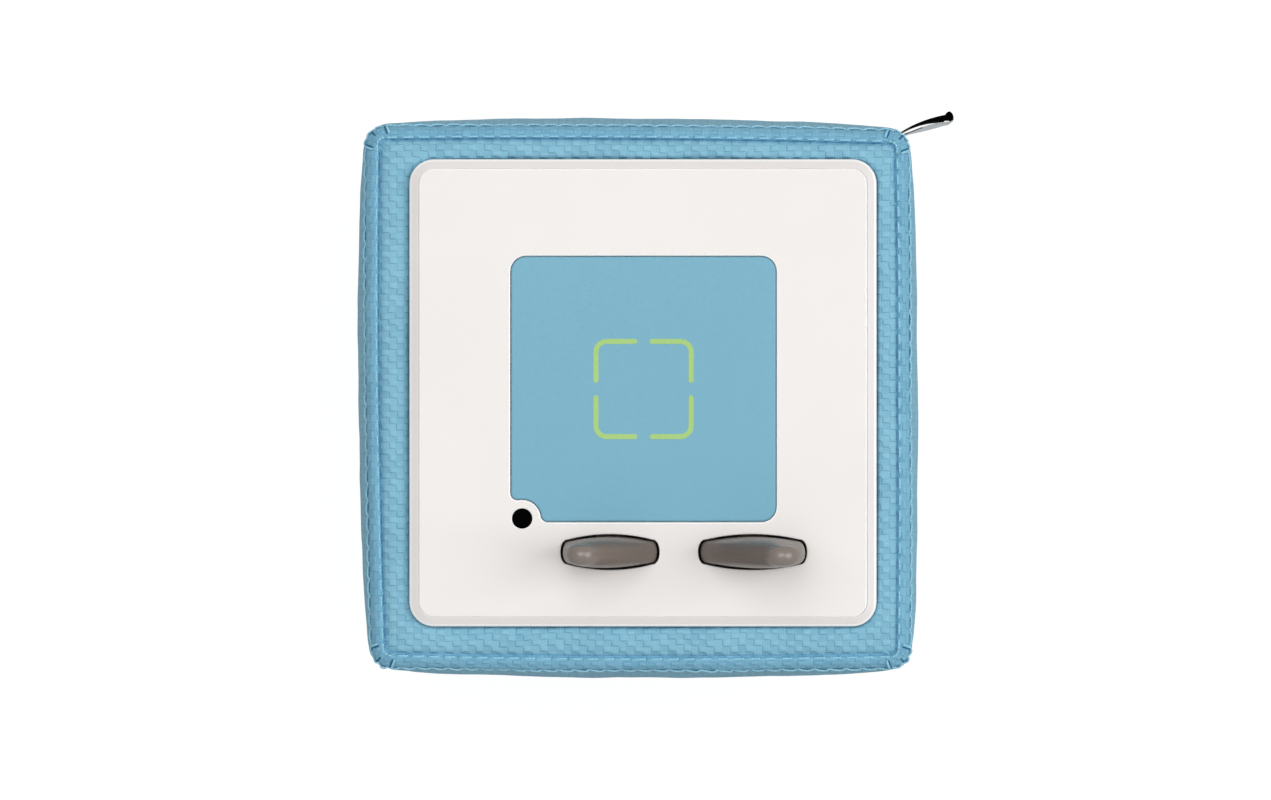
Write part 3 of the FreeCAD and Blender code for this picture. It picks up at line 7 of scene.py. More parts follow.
import bmesh
import bpy
from mathutils import Matrix, Vector, noise
from mathutils.bvhtree import BVHTree
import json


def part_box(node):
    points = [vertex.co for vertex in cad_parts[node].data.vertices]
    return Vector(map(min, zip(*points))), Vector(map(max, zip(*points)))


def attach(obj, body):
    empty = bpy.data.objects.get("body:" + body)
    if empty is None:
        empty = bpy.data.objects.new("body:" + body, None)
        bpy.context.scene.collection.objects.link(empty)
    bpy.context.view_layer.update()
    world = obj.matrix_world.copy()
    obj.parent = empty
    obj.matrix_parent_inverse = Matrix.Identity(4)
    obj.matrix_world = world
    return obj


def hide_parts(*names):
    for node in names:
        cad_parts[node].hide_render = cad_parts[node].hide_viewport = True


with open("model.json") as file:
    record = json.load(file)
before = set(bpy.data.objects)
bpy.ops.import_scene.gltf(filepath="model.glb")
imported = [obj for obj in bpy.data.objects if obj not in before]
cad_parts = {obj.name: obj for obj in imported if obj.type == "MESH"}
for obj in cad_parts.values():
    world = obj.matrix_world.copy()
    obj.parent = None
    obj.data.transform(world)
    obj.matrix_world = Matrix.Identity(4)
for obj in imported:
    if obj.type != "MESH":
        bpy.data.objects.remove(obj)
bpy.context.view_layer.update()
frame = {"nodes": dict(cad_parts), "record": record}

MM = 0.001


def box_mm(name):
    """Lowest and highest corner of a CAD node, in millimetres."""
    low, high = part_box(name)
    return Vector(low) / MM, Vector(high) / MM


# ---------------------------------------------------------------- sizes from the frame
cover_low, cover_high = box_mm("fabric_cover")
plate_high = box_mm("top_plate")[1]
pad_low, pad_high = box_mm("figure_pad")
marks_low, marks_high = box_mm("target_marks")
lens_low, lens_high = box_mm("status_lens")
small_high = box_mm("ear_small")[1]
large_high = box_mm("ear_large")[1]
pins_low, pins_high = box_mm("ear_pins")
base_low, base_high = box_mm("base_plate")
feet_high = box_mm("feet")[1]
ring_low, ring_high = box_mm("jack_ring")
jack_low, jack_high = box_mm("headphone_jack")
contacts_low, contacts_high = box_mm("dock_contacts")
base_screws_low = box_mm("base_screws")[0]

plate_half = plate_high.x
plate_top = plate_high.z
cover_middle = (cover_low + cover_high) / 2.0
ear_y = (pins_low.y + pins_high.y) / 2.0
pad_half = (pad_high.x - pad_low.x) / 2.0
pad_middle = ((pad_low + pad_high) / 2.0).xy
mark_half = (marks_high.x - marks_low.x) / 2.0
lens_middle = ((lens_low + lens_high) / 2.0).xy
lens_radius = (lens_high.x - lens_low.x) / 2.0
ring_middle = (ring_low + ring_high) / 2.0
flange_radius = (ring_high.x - ring_low.x) / 2.0

# ---------------------------------------------------------------- cover, in millimetres
seam_half = 55.65            # outer stitch line, from the middle of the cover
groove_half = 52.75          # inner stitch line
frame_half = 47.95           # inside this the cloth follows the plate
frame_edge_half = 45.6       # edge of the cloth under the plate
frame_turn_half = 48.6       # outside this the frame's corners tighten to the inner stitch line
seam_drop = 4.5              # outer stitch line below the flat face of the plate
frame_drop = 2.5             # cloth frame below the flat face of the plate
seam_corner = 4.3            # corner radius of the outer stitch line
groove_corner = 1.5          # the inner stitch line turns almost sharply
corner_swell = 1.9           # by which the side panels' corner radius grows at mid height
belly_depth = 4.1            # swell of a side panel at mid height
belly_power = 2.3            # how square that swell is
belly_start = 9.0            # degrees of the swell's curve that the seam takes up at each end
panel_bow = 1.35             # swell of a side panel along its length
seam_bow = 0.50              # the same at the outer stitch line
groove_bow = 0.65            # and at the inner one
# (across, along) by which each corner stands out further than the sides, by its quarter
corner_shift = {
    (True, True): (0.25, -0.30), (False, True): (0.60, 0.55),
    (False, False): (-0.60, -0.10), (True, False): (0.60, 0.15),
}
side_columns = 52
corner_columns = 12
panel_rows = 34
panel_straight = 102.0       # flat length of a panel between its rounded ends
panel_corner = 11.0          # and of one rounded corner
panel_lap = panel_straight + panel_corner

# rows of the cover's grid, counted from either end
groove_row = 10.5            # inner stitch line
outer_row = 19.5             # outer stitch line
top_rows = 20                # last row that is sewn down

# the cloth simulation, which lets the side panels swell
puff = 1.2                   # part of the swell that the foam gives while the cloth settles
cover_pressure = 4.0
cover_quality = 4
settle_frames = 20
settle_cap = 3.0             # furthest that a point may move

# how the cloth lies between its stitches
pucker_depth = 0.14
groove_pucker = 2.2          # rows over which it puckers at the inner stitch line
outer_pucker = 2.0           # and at the outer one
ripple_depth = 0.07
# the two ripples: strength, waves to a side and to a row, and place in the noise
ripples = ((3.2, 9.0, 0.25, 3.0), (1.6, 25.0, 0.5, 7.0))
corner_seam_depth = 0.16     # upright seam in the middle of each corner
corner_seam_width = 0.7

# ---------------------------------------------------------------- weave, thread and stitches
weave_width = 1.62           # one block of the basket weave
weave_height = 1.26
weave_threads = 3            # threads side by side in a block
weave_relief = 0.24
weave_wander = 1.6           # width over which the weave wanders
stitch_pitch = 3.27
thread_radius = 0.22
thread_sides = 5
groove_drop = frame_drop + 1.0    # depth at which the inner stitches look for the cloth
groove_thread_out = 0.36     # their thread lies this far outside the dark strand of painted shade in the fold
groove_tilt = 10.0           # degrees by which the cloth there leans outwards
groove_samples = 12          # points of thread to a stitch
groove_over = 0.55           # share of a stitch that lies on the cloth
groove_proud = 0.10          # its thread's middle above the cloth
groove_sunk = -0.45          # and where it has gone under
fold_rise = (-0.20, -0.05, -0.08, -0.20)   # dark strand of painted shade in the fold under the inner seam, side by side
fold_radius = 0.13
fold_inset = 1.0             # by which the fold stops short of the corners
fold_steps = 150
chain_half = seam_half - 0.25
chain_drop = seam_drop + 0.1
chain_tilt = 38.0
chain_samples = 10
chain_proud = 0.12
chain_aside = 0.12           # the slit's place beside the seam line
chain_bow = 0.62             # by which the thread bows outwards at each stitch
chain_power = 0.8            # how round each bow is
# the slit is a dark strand of painted shadow in the opening of each stitch
slit_radius = 0.22
slit_proud = 0.03
slit_sunk = -0.4
slit_open = (0.18, 0.82)     # part of a stitch in which the slit shows
tack_tilt = 42.0             # lean of the cloth at the outer end of a corner thread
tack_run = 0.9               # by which a corner thread slants
tack_steps = 7
tack_slit_radius = 0.20
tack_reach = 0.2             # a corner thread ends this far outside the outer stitch line
ray_reach = 5.0              # the cloth is looked for this far above and below its ring
turn_step = 0.002            # turn over which a seam's direction is measured
nearly_up = Vector((0.02, 0.03, 1.0))    # no thread runs along this

# ---------------------------------------------------------------- foam
foam_gap = 2.2 + (belly_depth - puff) * 0.1    # between foam and cloth
foam_end = 5.6               # its ends below the plate's face and above the table
foam_rows_from = 3.0         # from this far below the plate's face it follows the cover
foam_bore_half = 46.4        # hollow that the housing fills
foam_bore_corner = 5.0

# ---------------------------------------------------------------- plate, pad, marks and lens
plate_corner = 5.0
plate_thickness = 2.4
pocket_gap = 0.16
pocket_depth = 1.2
pad_corner = 3.0
pad_proud = 0.15
notch_radius = 3.96
notch_round = 1.3
mark_stroke = 1.05
mark_corner = 2.7
mark_gap = 2.5
mark_film = 0.03             # the print stands this far above the CAD marks' face
mark_root = 0.2              # and reaches this far into the pad
lens_gap = 0.08
lens_hole_share = 0.6        # size of the lens hole's rounded edge, of the other holes'
slot_gap = 0.5
slot_width = 7.24
small_slot = 20.1
large_slot = 22.1

# ---------------------------------------------------------------- ears
blunt_share = 0.70           # thickness at the ends of an ear's section, of that in the middle
blunt_depth_share = 0.22     # depth of its rounded ends, of its thickness
blunt_power = 0.8            # how square those ends are
end_steps = 12
side_steps = 20
end_angle = 48.0             # half of the turn that an end takes on the oval
# outlines as shares of half the length and of the height: foot, middle and top of each arc
inner_edge = ((-1.0, 0.0), (-0.47, 0.50), (0.22, 0.91))
tip_edge = ((0.22, 0.91), (0.55, 1.00), (0.86, 0.88))
outer_edge = ((0.86, 0.88), (0.97, 0.45), (1.0, 0.0))
tip_half_share = 0.335       # half thickness below the tip, of the thickness at the foot
waist_half_share = 0.46      # and half way up
small_tip_shift = 0.5        # each tip beside the arcs above
large_tip_shift = -0.4
small_x = -6.70              # middles of the two slots
large_x = 22.28
fin_rows = 34
fin_blends = 6               # times that each row's edges are evened out with their neighbours'
fin_root = 0.3               # the fin starts this far below the plate
oval_rise = 1.25             # the section turns into an oval by this share of the height
oval_power = 1.3

# ---------------------------------------------------------------- ribbon
ribbon_width = 10.0
ribbon_thickness = 0.24
ribbon_low = 101.5
ribbon_high = 111.5
ribbon_rows = 8
leg_steps = 16
fold_tip_steps = 14
ribbon_lean = 7.8            # degrees that the outgoing leg leans to the back at the tip
lean_power = 2.6
ribbon_return_lean = 2.8     # and the leg that comes back
return_from = 0.47           # share of the length at which the return leg starts
return_over = 0.06
return_open = (0.28, 0.64)   # its lean starts this far from the root, and over this much
# centre line in plan from the corner of the outer stitch lines: root, upper leg and its end,
# tip, end of the lower leg, its middle and its root
ribbon_points = (
    (-2.90, -1.90), (2.60, 0.95), (7.30, 1.90), (9.00, 1.75), (7.90, 0.72), (3.62, -0.26),
    (-2.50, -2.25),
)
# shares of the length at which the edge turns black, pale and grey again
black_edge_from = 0.15
pale_edge_from = 0.53
pale_edge_to = 0.80
# the ribbon's first material, to go with each edge; its back and its edge are the next two
grey_edge, pale_edge, black_edge = 0, 3, 6

# ---------------------------------------------------------------- base and socket
base_top = 2.4
base_corner = 6.0
dock_radius = 17.0
dock_top = 4.2
contact_count = 3
contact_circle = 9.0
contact_radius = 2.0
contact_hole_depth = 1.4
foot_at = 37.0               # from the middle, to the right and to the back
foot_radius = 5.5
foot_gap = 0.1
foot_well_depth = 0.8
base_screw_at = 36.0
base_counterbore = 3.25
base_counterbore_depth = 1.9
base_screw_head = 2.7
base_head_height = 2.0
cross_arm = 1.35
cross_half_width = 0.36
cross_depth = 1.0
cross_taper = 0.72
socket_bore = 1.75
socket_barrel = 4.0
socket_foot = 5.5
socket_foot_height = 4.0
socket_depth = 14.0
ring_bore = socket_barrel + 0.05
ring_clear = 0.6             # the cloth lies flat this far outside the flange
ring_ease = 18.0             # over this it comes back to its own line
ring_sunk = 0.08             # flange sunk in the cloth
ring_hole = socket_barrel - 0.1
round_steps = 32
dock_steps = 96
socket_steps = 64

# ---------------------------------------------------------------- shared
cloud_scale = 45.0           # clouds of tone in a plain finish, 22 mm wide
outline_steps = 10           # steps round a corner
pad_steps = 8
same_point = 1e-4            # points nearer than this are one
same_cut = 1e-3              # the same where CAD faces or holes meet
kept_gap = 0.001             # CAD parts are cut this far from the new faces
quarters = ((-1, -1), (-1, 1), (1, -1), (1, 1))

# ---------------------------------------------------------------- studio, in metres
floor_half = 6.0
glow_near = (0.4, 0.93)      # (distance from the player, glow) of the floor
glow_far = (2.0, 1.0)
white = (1.0, 1.0, 1.0, 1.0)
sky_grey = (0.34, 0.34, 0.34, 1.0)       # light from all round the player
floor_grey = (0.13, 0.13, 0.13, 1.0)     # by which a shadow darkens the glowing floor
softbox_aim = (0.0, 0.0, 0.06)
softbox_white = "#fffefc"
camera_place = (-0.00152, -0.00146, 1.220)
camera_lens = 153.3          # millimetres, as the sensor is
camera_sensor = 36.0


# ---------------------------------------------------------------- materials
def linear(colour):
    """Linear RGBA of an sRGB hex colour."""
    values = [int(colour[i:i + 2], 16) / 255.0 for i in (1, 3, 5)]
    return [v / 12.92 if v <= 0.04045 else ((v + 0.055) / 1.055) ** 2.4 for v in values] + [1.0]


def plug(tree, node, inputs):
    """Links nodes and sockets to a node's inputs, and sets the inputs that have plain values."""
    for key, value in inputs.items():
        if isinstance(value, bpy.types.Node):
            tree.links.new(value.outputs[0], node.inputs[key])
        elif isinstance(value, bpy.types.NodeSocket):
            tree.links.new(value, node.inputs[key])
        else:
            node.inputs[key].default_value = value


def add(tree, kind, inputs=None, stops=(), **settings):
    """Adds a node with its settings, its input values or links, and a ramp's (place, hex) stops."""
    made = tree.nodes.new(kind)
    for name, value in settings.items():
        setattr(made, name, value)
    for index, (place, colour) in enumerate(stops):
        points = made.color_ramp.elements
        point = points[index] if index < 2 else points.new(place)
        point.position = place
        point.color = linear(colour)
    plug(tree, made, inputs or {})
    return made


def blank(name, roughness, metallic=0.0, ior=1.46, **extra):
    """A material with its surface shader; extra sets more of the shader's sockets."""
    made = bpy.data.materials.new(name)
    made.use_nodes = True
    tree = made.node_tree
    shader = tree.nodes["Principled BSDF"]
    plug(tree, shader, {"Roughness": roughness, "Metallic": metallic})
    if not metallic:
        plug(tree, shader, {"IOR": ior})
    plug(tree, shader, {key.replace("_", " "): value for key, value in extra.items()})
    return made, tree, shader


def plain_finish(name, colour, shade, grain, relief, roughness, spread=0.08, **extra):
    """A plain solid material: two close tones, a fine grain of `grain` mm and `relief` mm deep."""
    made, tree, shader = blank(name, roughness, **extra)
    place = add(tree, "ShaderNodeTexCoord").outputs["Object"]
    cloud = add(tree, "ShaderNodeTexNoise", {"Vector": place, "Scale": cloud_scale, "Detail": 3.0})
    fine = add(tree, "ShaderNodeTexNoise", {
        "Vector": place, "Scale": 1.0 / (grain * MM), "Detail": 2.0, "Roughness": 0.6,
    })
    tone = add(tree, "ShaderNodeValToRGB", {0: cloud}, stops=((0.35, shade), (0.65, colour)))
    rough = add(tree, "ShaderNodeMapRange", {
        0: fine, 1: 0.3, 2: 0.7, 3: roughness - spread, 4: roughness + spread,
    })
    bump = add(tree, "ShaderNodeBump", {"Height": fine, "Distance": relief * MM, "Strength": 1.0})
    plug(tree, shader, {"Base Color": tone, "Roughness": rough, "Normal": bump})
    return made


def woven_cloth(name, light, body, dark, gap):
    """Melange polyester in a coarse basket weave: soft raised blocks, fine threads, and dark gaps
    of painted shade.
    """
    made, tree, shader = blank(
        name, 0.85, ior=1.45, Specular_IOR_Level=0.02, Sheen_Weight=0.10, Sheen_Roughness=0.3
    )
    flat = add(tree, "ShaderNodeUVMap", uv_map="panel")
    drift = add(tree, "ShaderNodeTexNoise", {
        "Vector": flat, "Scale": 0.10, "Detail": 4.0, "Roughness": 0.6,
    })
    wander = add(tree, "ShaderNodeVectorMath", {0: drift.outputs["Color"], 1: (0.5, 0.5, 0.5)},
                 operation="SUBTRACT")
    bent = add(tree, "ShaderNodeVectorMath", {
        0: wander, 1: (weave_wander, weave_wander, 0.0), 2: flat,
    }, operation="MULTIPLY_ADD")
    cells = add(tree, "ShaderNodeVectorMath", {
        0: bent, 1: (1.0 / weave_width, 1.0 / weave_height, 0.0),
    }, operation="MULTIPLY")
    shifted = add(tree, "ShaderNodeVectorMath", {0: cells, 1: (0.0, 0.0, 0.5)}, operation="ADD")
    parity = add(tree, "ShaderNodeTexChecker", {
        "Vector": shifted, "Color1": (1, 1, 1, 1), "Color2": (0, 0, 0, 1), "Scale": 1.0,
    }).outputs["Fac"]
    inside = add(tree, "ShaderNodeVectorMath", {0: cells}, operation="FRACTION")
    arch = add(tree, "ShaderNodeVectorMath", {0: inside, 1: (math.pi,) * 3}, operation="MULTIPLY")
    arch = add(tree, "ShaderNodeVectorMath", {0: arch}, operation="SINE")
    arch = add(tree, "ShaderNodeSeparateXYZ", {0: arch})
    dome = add(tree, "ShaderNodeMath", {0: arch.outputs[0], 1: arch.outputs[1]},
               operation="MULTIPLY")
    dome = add(tree, "ShaderNodeMath", {0: dome, 1: 0.62}, operation="POWER")
    # a block's threads lie side by side: across in the raised blocks, upright in the others
    turns = add(tree, "ShaderNodeVectorMath", {0: cells, 1: (2.0 * weave_threads * math.pi,) * 3},
                operation="MULTIPLY")
    threads = add(tree, "ShaderNodeSeparateXYZ", {
        0: add(tree, "ShaderNodeVectorMath", {0: turns}, operation="COSINE"),
    })
    raised = add(tree, "ShaderNodeMath", {0: threads.outputs[1], 1: -0.09, 2: 0.40},
                 operation="MULTIPLY_ADD")
    raised = add(tree, "ShaderNodeMath", {0: dome, 1: 0.60, 2: raised}, operation="MULTIPLY_ADD")
    sunk = add(tree, "ShaderNodeMath", {0: threads.outputs[0], 1: -0.06, 2: 0.38},
               operation="MULTIPLY_ADD")
    sunk = add(tree, "ShaderNodeMath", {0: dome, 1: -0.14, 2: sunk}, operation="MULTIPLY_ADD")
    height = add(tree, "ShaderNodeMix", {0: parity, 2: sunk, 3: raised})
    # painted shade and light: raised blocks are darker along two of their edges, and a little
    # lighter than the sunk ones
    ramped = add(tree, "ShaderNodeVectorMath", {0: inside, 1: (5.0, 4.0, 1.0)},
                 operation="MULTIPLY")
    ramped = add(tree, "ShaderNodeSeparateXYZ", {0: ramped})
    edge = add(tree, "ShaderNodeMath", {0: ramped.outputs[0], 1: ramped.outputs[1]},
               operation="MINIMUM", use_clamp=True)
    raised_lit_and_shaded_tone = add(tree, "ShaderNodeMath", {0: edge, 1: 0.27, 2: 0.47},
                      operation="MULTIPLY_ADD")
    sunk_tone = add(tree, "ShaderNodeMath", {0: threads.outputs[0], 1: -0.03, 2: 0.66},
                    operation="MULTIPLY_ADD")
    woven = add(tree, "ShaderNodeMix", {0: parity, 2: sunk_tone, 3: raised_lit_and_shaded_tone})
    # each block has its own tone, as the yarns are dyed unevenly
    whole = add(tree, "ShaderNodeVectorMath", {0: cells}, operation="FLOOR")
    yarn = add(tree, "ShaderNodeTexWhiteNoise", {0: whole}, noise_dimensions="3D")
    fuzz = add(tree, "ShaderNodeTexNoise", {"Vector": flat, "Scale": 7.0, "Detail": 3.0})
    patch = add(tree, "ShaderNodeTexNoise", {"Vector": flat, "Scale": 0.06, "Detail": 2.0})
    tone = add(tree, "ShaderNodeMath", {0: yarn, 1: 0.13, 2: woven}, operation="MULTIPLY_ADD")
    tone = add(tree, "ShaderNodeMath", {0: fuzz, 1: 0.18, 2: tone}, operation="MULTIPLY_ADD")
    tone = add(tree, "ShaderNodeMath", {0: patch, 1: 0.16, 2: tone}, operation="MULTIPLY_ADD")
    colour = add(tree, "ShaderNodeValToRGB", {0: tone},
                 stops=((0.62, gap), (0.80, dark), (0.88, body), (1.0, light)))
    relief = add(tree, "ShaderNodeMath", {0: fuzz, 1: 0.16, 2: height.outputs[0]},
                 operation="MULTIPLY_ADD")
    bump = add(tree, "ShaderNodeBump", {
        "Height": relief, "Distance": weave_relief * MM, "Strength": 1.0,
    })
    plug(tree, shader, {"Base Color": colour, "Normal": bump})
    return made


def satin_ribbon(name, light, dark):
    """Woven satin: fine cross ribs of 0.4 mm and a long soft shine."""
    made, tree, shader = blank(name, 0.4, Anisotropic=0.3, Specular_IOR_Level=0.3)
    flat = add(tree, "ShaderNodeUVMap", uv_map="panel")
    ribs = add(tree, "ShaderNodeTexWave", {
        "Vector": flat, "Scale": 0.8, "Distortion": 0.4, "Detail": 1.0,
    }, bands_direction="X")
    yarn = add(tree, "ShaderNodeTexNoise", {"Vector": flat, "Scale": 3.0, "Detail": 2.0})
    tone = add(tree, "ShaderNodeMath", {0: yarn, 1: 0.5, 2: 0.25}, operation="MULTIPLY_ADD")
    colour = add(tree, "ShaderNodeValToRGB", {0: tone}, stops=((0.3, dark), (0.7, light)))
    bump = add(tree, "ShaderNodeBump", {"Height": ribs, "Distance": 0.05 * MM, "Strength": 0.6})
    plug(tree, shader, {"Base Color": colour, "Normal": bump})
    return made


def twisted_thread(name, light, dark):
    """Bonded sewing thread: a tight twist, with slanting lines of painted highlight and shade over
    its bump.
    """
    made, tree, shader = blank(name, 0.6, Specular_IOR_Level=0.12)
    place = add(tree, "ShaderNodeTexCoord").outputs["Object"]
    twist = add(tree, "ShaderNodeTexWave", {
        "Vector": place, "Scale": 900.0, "Distortion": 1.5, "Detail": 1.0,
    }, bands_direction="DIAGONAL")
    colour = add(tree, "ShaderNodeValToRGB", {0: twist}, stops=((0.2, dark), (0.8, light)))
    bump = add(tree, "ShaderNodeBump", {"Height": twist, "Distance": 0.02 * MM, "Strength": 0.7})
    plug(tree, shader, {"Base Color": colour, "Normal": bump})
    return made


def circuit_laminate(name):
    """Glass-fibre board under green solder mask, with paler copper lines 0.8 mm apart."""
    made, tree, shader = blank(name, 0.35)
    place = add(tree, "ShaderNodeTexCoord").outputs["Object"]
    lines = add(tree, "ShaderNodeTexBrick", {
        "Vector": place, "Color1": linear("#1f5b3a"), "Color2": linear("#1b5034"),
        "Mortar": linear("#2f7a4f"), "Scale": 260.0, "Mortar Size": 0.06,
    })
    bump = add(tree, "ShaderNodeBump", {
        "Height": lines.outputs["Fac"], "Distance": 0.04 * MM, "Strength": 1.0,
    })
    plug(tree, shader, {"Base Color": lines, "Normal": bump})
    return made


def open_foam(name, light, dark, cell):
    """Cut foam: open cells of `cell` mm with thin pale walls, their hollows painted dark as shade.
    """
    made, tree, shader = blank(name, 0.95, Specular_IOR_Level=0.2)
    place = add(tree, "ShaderNodeTexCoord").outputs["Object"]
    cells = add(tree, "ShaderNodeTexVoronoi", {"Vector": place, "Scale": 1.0 / (cell * MM)})
    colour = add(tree, "ShaderNodeValToRGB", {0: cells}, stops=((0.1, dark), (0.6, light)))
    bump = add(tree, "ShaderNodeBump", {
        "Height": cells, "Distance": cell * 0.3 * MM, "Strength": 1.0,
    })
    plug(tree, shader, {"Base Color": colour, "Normal": bump})
    return made


def ear_finish(name, top):
    """Grey ABS, matt on the flanks and bright on the last three millimetres below the tip."""
    made = plain_finish(name, "#80756e", "#7a6f69", 2.0, 0.0003, 0.26, spread=0.02)
    tree = made.node_tree
    place = add(tree, "ShaderNodeTexCoord").outputs["Object"]
    level = add(tree, "ShaderNodeSeparateXYZ", {0: place}).outputs[2]
    shine = add(tree, "ShaderNodeMapRange", {
        0: level, 1: (top - 3.2) * MM, 2: (top - 0.3) * MM, 3: 0.02, 4: 0.7,
    })
    plug(tree, tree.nodes["Principled BSDF"], {"Specular IOR Level": shine})
    return made


# the cover: blue melange cloth that the foam rounds out
cloth = woven_cloth("woven_polyester", "#92cae2", "#88bfd8", "#80b7d1", "#66a4c1")
# the same cloth turned over the band, painted a little darker and deeper as the shade on its slope
shaded_band_cloth = woven_cloth("woven_polyester_band_shaded", "#89c1dd", "#7eb7d3", "#75aecb", "#5a97b7")
# its own thread, painted a little paler than the cloth as a highlight, and shinier
thread = twisted_thread("polyester_thread_highlighted", "#a6dcf1", "#90cbe3")
# painted shadow of the open stitch holes, on dark strands laid in the folds and slits of the seams
stitch_shadow_finish = plain_finish(
    "stitch_shadow", "#34769b", "#2e6c8f", 0.4, 0.02, 0.9, Specular_IOR_Level=0.05
)
# polyester satin: pale grey, with the long shine of its floating threads
ribbon_face = satin_ribbon("silver_satin", "#cfd1d4", "#a3a6aa")
# its back, a dull black plain weave
ribbon_back = plain_finish(
    "black_taffeta", "#060606", "#030303", 0.4, 0.01, 0.9, spread=0.02, Specular_IOR_Level=0.03
)
# its cut edge, where both sides' threads show
ribbon_edge = plain_finish(
    "cut_satin_edge", "#5a504d", "#4c4340", 0.4, 0.01, 0.8, Specular_IOR_Level=0.05
)
# fine spark-eroded matt skin of moulded ABS, warm white
plate_plastic = plain_finish("moulded_abs_white", "#f3f0ee", "#f2eeec", 0.35, 0.004, 0.45)
# edges that the mould leaves smooth, with a bright coat, and painted whiter than the face as a
# highlight
polished_highlight_edge = plain_finish(
    "polished_abs_edge_highlight", "#fefefe", "#fcfcfc", 0.6, 0.001, 0.3, Coat_Weight=1.0,
    Specular_IOR_Level=0.8,
)
# coarser matt grain on the sloping ring, painted a little darker as the shade that its slope takes
shaded_ring_plastic = plain_finish("matt_abs_ring_shaded", "#eae7e6", "#e7e4e3", 0.3, 0.008, 0.5)
# grey ABS, satin from a polished mould, with a bright tip
small_ear_plastic = ear_finish("moulded_abs_grey_small", small_high.z)
large_ear_plastic = ear_finish("moulded_abs_grey_large", large_high.z)
# soft matt skin of moulded silicone rubber
pad_rubber = plain_finish("silicone_blue", "#72afc7", "#70adc5", 0.5, 0.004, 0.46)
# screen-printed ink, even and flat, a little duller than the silicone
mark_ink = plain_finish("pad_print_green", "#a8d07c", "#a3cc78", 0.4, 0.003, 0.5)
# smoked acrylic, polished and nearly black, which shows no light behind it
smoked_lens = plain_finish(
    "smoked_acrylic", "#020202", "#010101", 1.0, 0.001, 0.12, spread=0.03,
    Specular_IOR_Level=0.004,
)
# painted shadow: black lining on the walls of the ear slots, where the gap round each ear lies in
# shade
slot_shadow = plain_finish("slot_shadow_lining", "#0a0a0a", "#060606", 0.5, 0.01, 0.8)
# the same ABS as the plate's in a coarser grain, a little greyer
base_plastic = plain_finish("moulded_base_white", "#e6e3df", "#e1ddd8", 0.4, 0.012, 0.5)
# moulded rubber, dull and slightly uneven
foot_rubber = plain_finish("foot_rubber", "#8b8d8f", "#808284", 0.6, 0.02, 0.75)
# bright zinc on steel, with a faint clouded shine
zinc_steel = plain_finish(
    "zinc_plated_steel", "#a5a6a8", "#8e8f92", 0.3, 0.004, 0.32, metallic=1.0
)
# thin gold on brass, smooth and warm
gilt_brass = plain_finish(
    "gold_plated_brass", "#d2ae62", "#c19c52", 0.3, 0.003, 0.22, metallic=1.0
)

# what each CAD node is made of, for the pieces that are shown as they are in the CAD model
slot_materials = {
    "cloth": cloth,
    "foam": open_foam("polyether_foam", "#dcd8cb", "#b5b0a2", 1.2),
    "ribbon": ribbon_face,
    "plate_plastic": plate_plastic,
    "pad_rubber": pad_rubber,
    "mark_print": mark_ink,
    "lens_plastic": smoked_lens,
    "lamp_resin": plain_finish("lamp_epoxy", "#e6e6da", "#dcdccf", 0.5, 0.002, 0.1),
    "ear_plastic": large_ear_plastic,
    "dark_plastic": plain_finish("moulded_abs_dark", "#3a3c40", "#34363a", 0.4, 0.01, 0.5),
    "base_plastic": base_plastic,
    "screw_steel": zinc_steel,
    "pin_steel": plain_finish("blackened_steel", "#2b2c2e", "#242527", 0.2, 0.003, 0.5),
    "dark_rubber": plain_finish("nitrile_rubber", "#2c2d2e", "#252627", 0.5, 0.02, 0.7),
    "grey_rubber": foot_rubber,
    "circuit_board": circuit_laminate("solder_mask"),
    "chip_resin": plain_finish("chip_epoxy", "#1d1d1f", "#171719", 0.2, 0.01, 0.55),
    "plug_nylon": plain_finish("natural_nylon", "#ece7d8", "#e3ddcc", 0.5, 0.005, 0.35),
    "pressed_metal": plain_finish("tinned_steel", "#c0c1c2", "#aeafb1", 0.4, 0.005, 0.28,
                              metallic=1.0),
    "contact_brass": gilt_brass,
    "magnet_metal": plain_finish("nickel_plate", "#9d9fa3", "#888a8e", 0.5, 0.008, 0.25,
                             metallic=1.0),
    "speaker_steel": plain_finish("black_stoved_steel", "#26282b", "#1f2123", 0.4, 0.01, 0.45),
    "cone_paper": plain_finish("pressed_paper", "#2b2b2d", "#222224", 0.7, 0.05, 0.9),
    "gasket_foam": open_foam("closed_foam", "#36383a", "#26282a", 0.5),
    "cell_sleeve": plain_finish("shrink_sleeve", "#3f7fb0", "#3a77a6", 1.0, 0.004, 0.25),
    "card_resin": plain_finish("card_resin", "#17181a", "#121315", 0.3, 0.004, 0.4),
    "lead_sleeve": plain_finish("vinyl_sleeve", "#2a2a2c", "#232325", 0.5, 0.006, 0.4),
    "strap_cloth": plain_finish("strap_webbing", "#222325", "#191a1c", 0.6, 0.05, 0.9),
}
for subpart in frame["record"]["subparts"]:
    node = frame["nodes"][subpart["node"]]
    node.data.materials.clear()
    node.data.materials.append(slot_materials[subpart["material_slot"]])


# ---------------------------------------------------------------- making pieces
def piece(name, bm, materials, body="housing", replaced=()):
    """Turns a shape in millimetres into a piece that rides on a body."""
    bmesh.ops.transform(bm, matrix=Matrix.Scale(MM, 4), verts=bm.verts)
    mesh = bpy.data.meshes.new(name)
    bm.to_mesh(mesh)
    bm.free()
    for material in materials:
        mesh.materials.append(material)
    for face in mesh.polygons:
        face.use_smooth = True
    made = bpy.data.objects.new(name, mesh)
    bpy.context.collection.objects.link(made)
    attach(made, body)
    if replaced:
        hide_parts(*replaced)
    return made


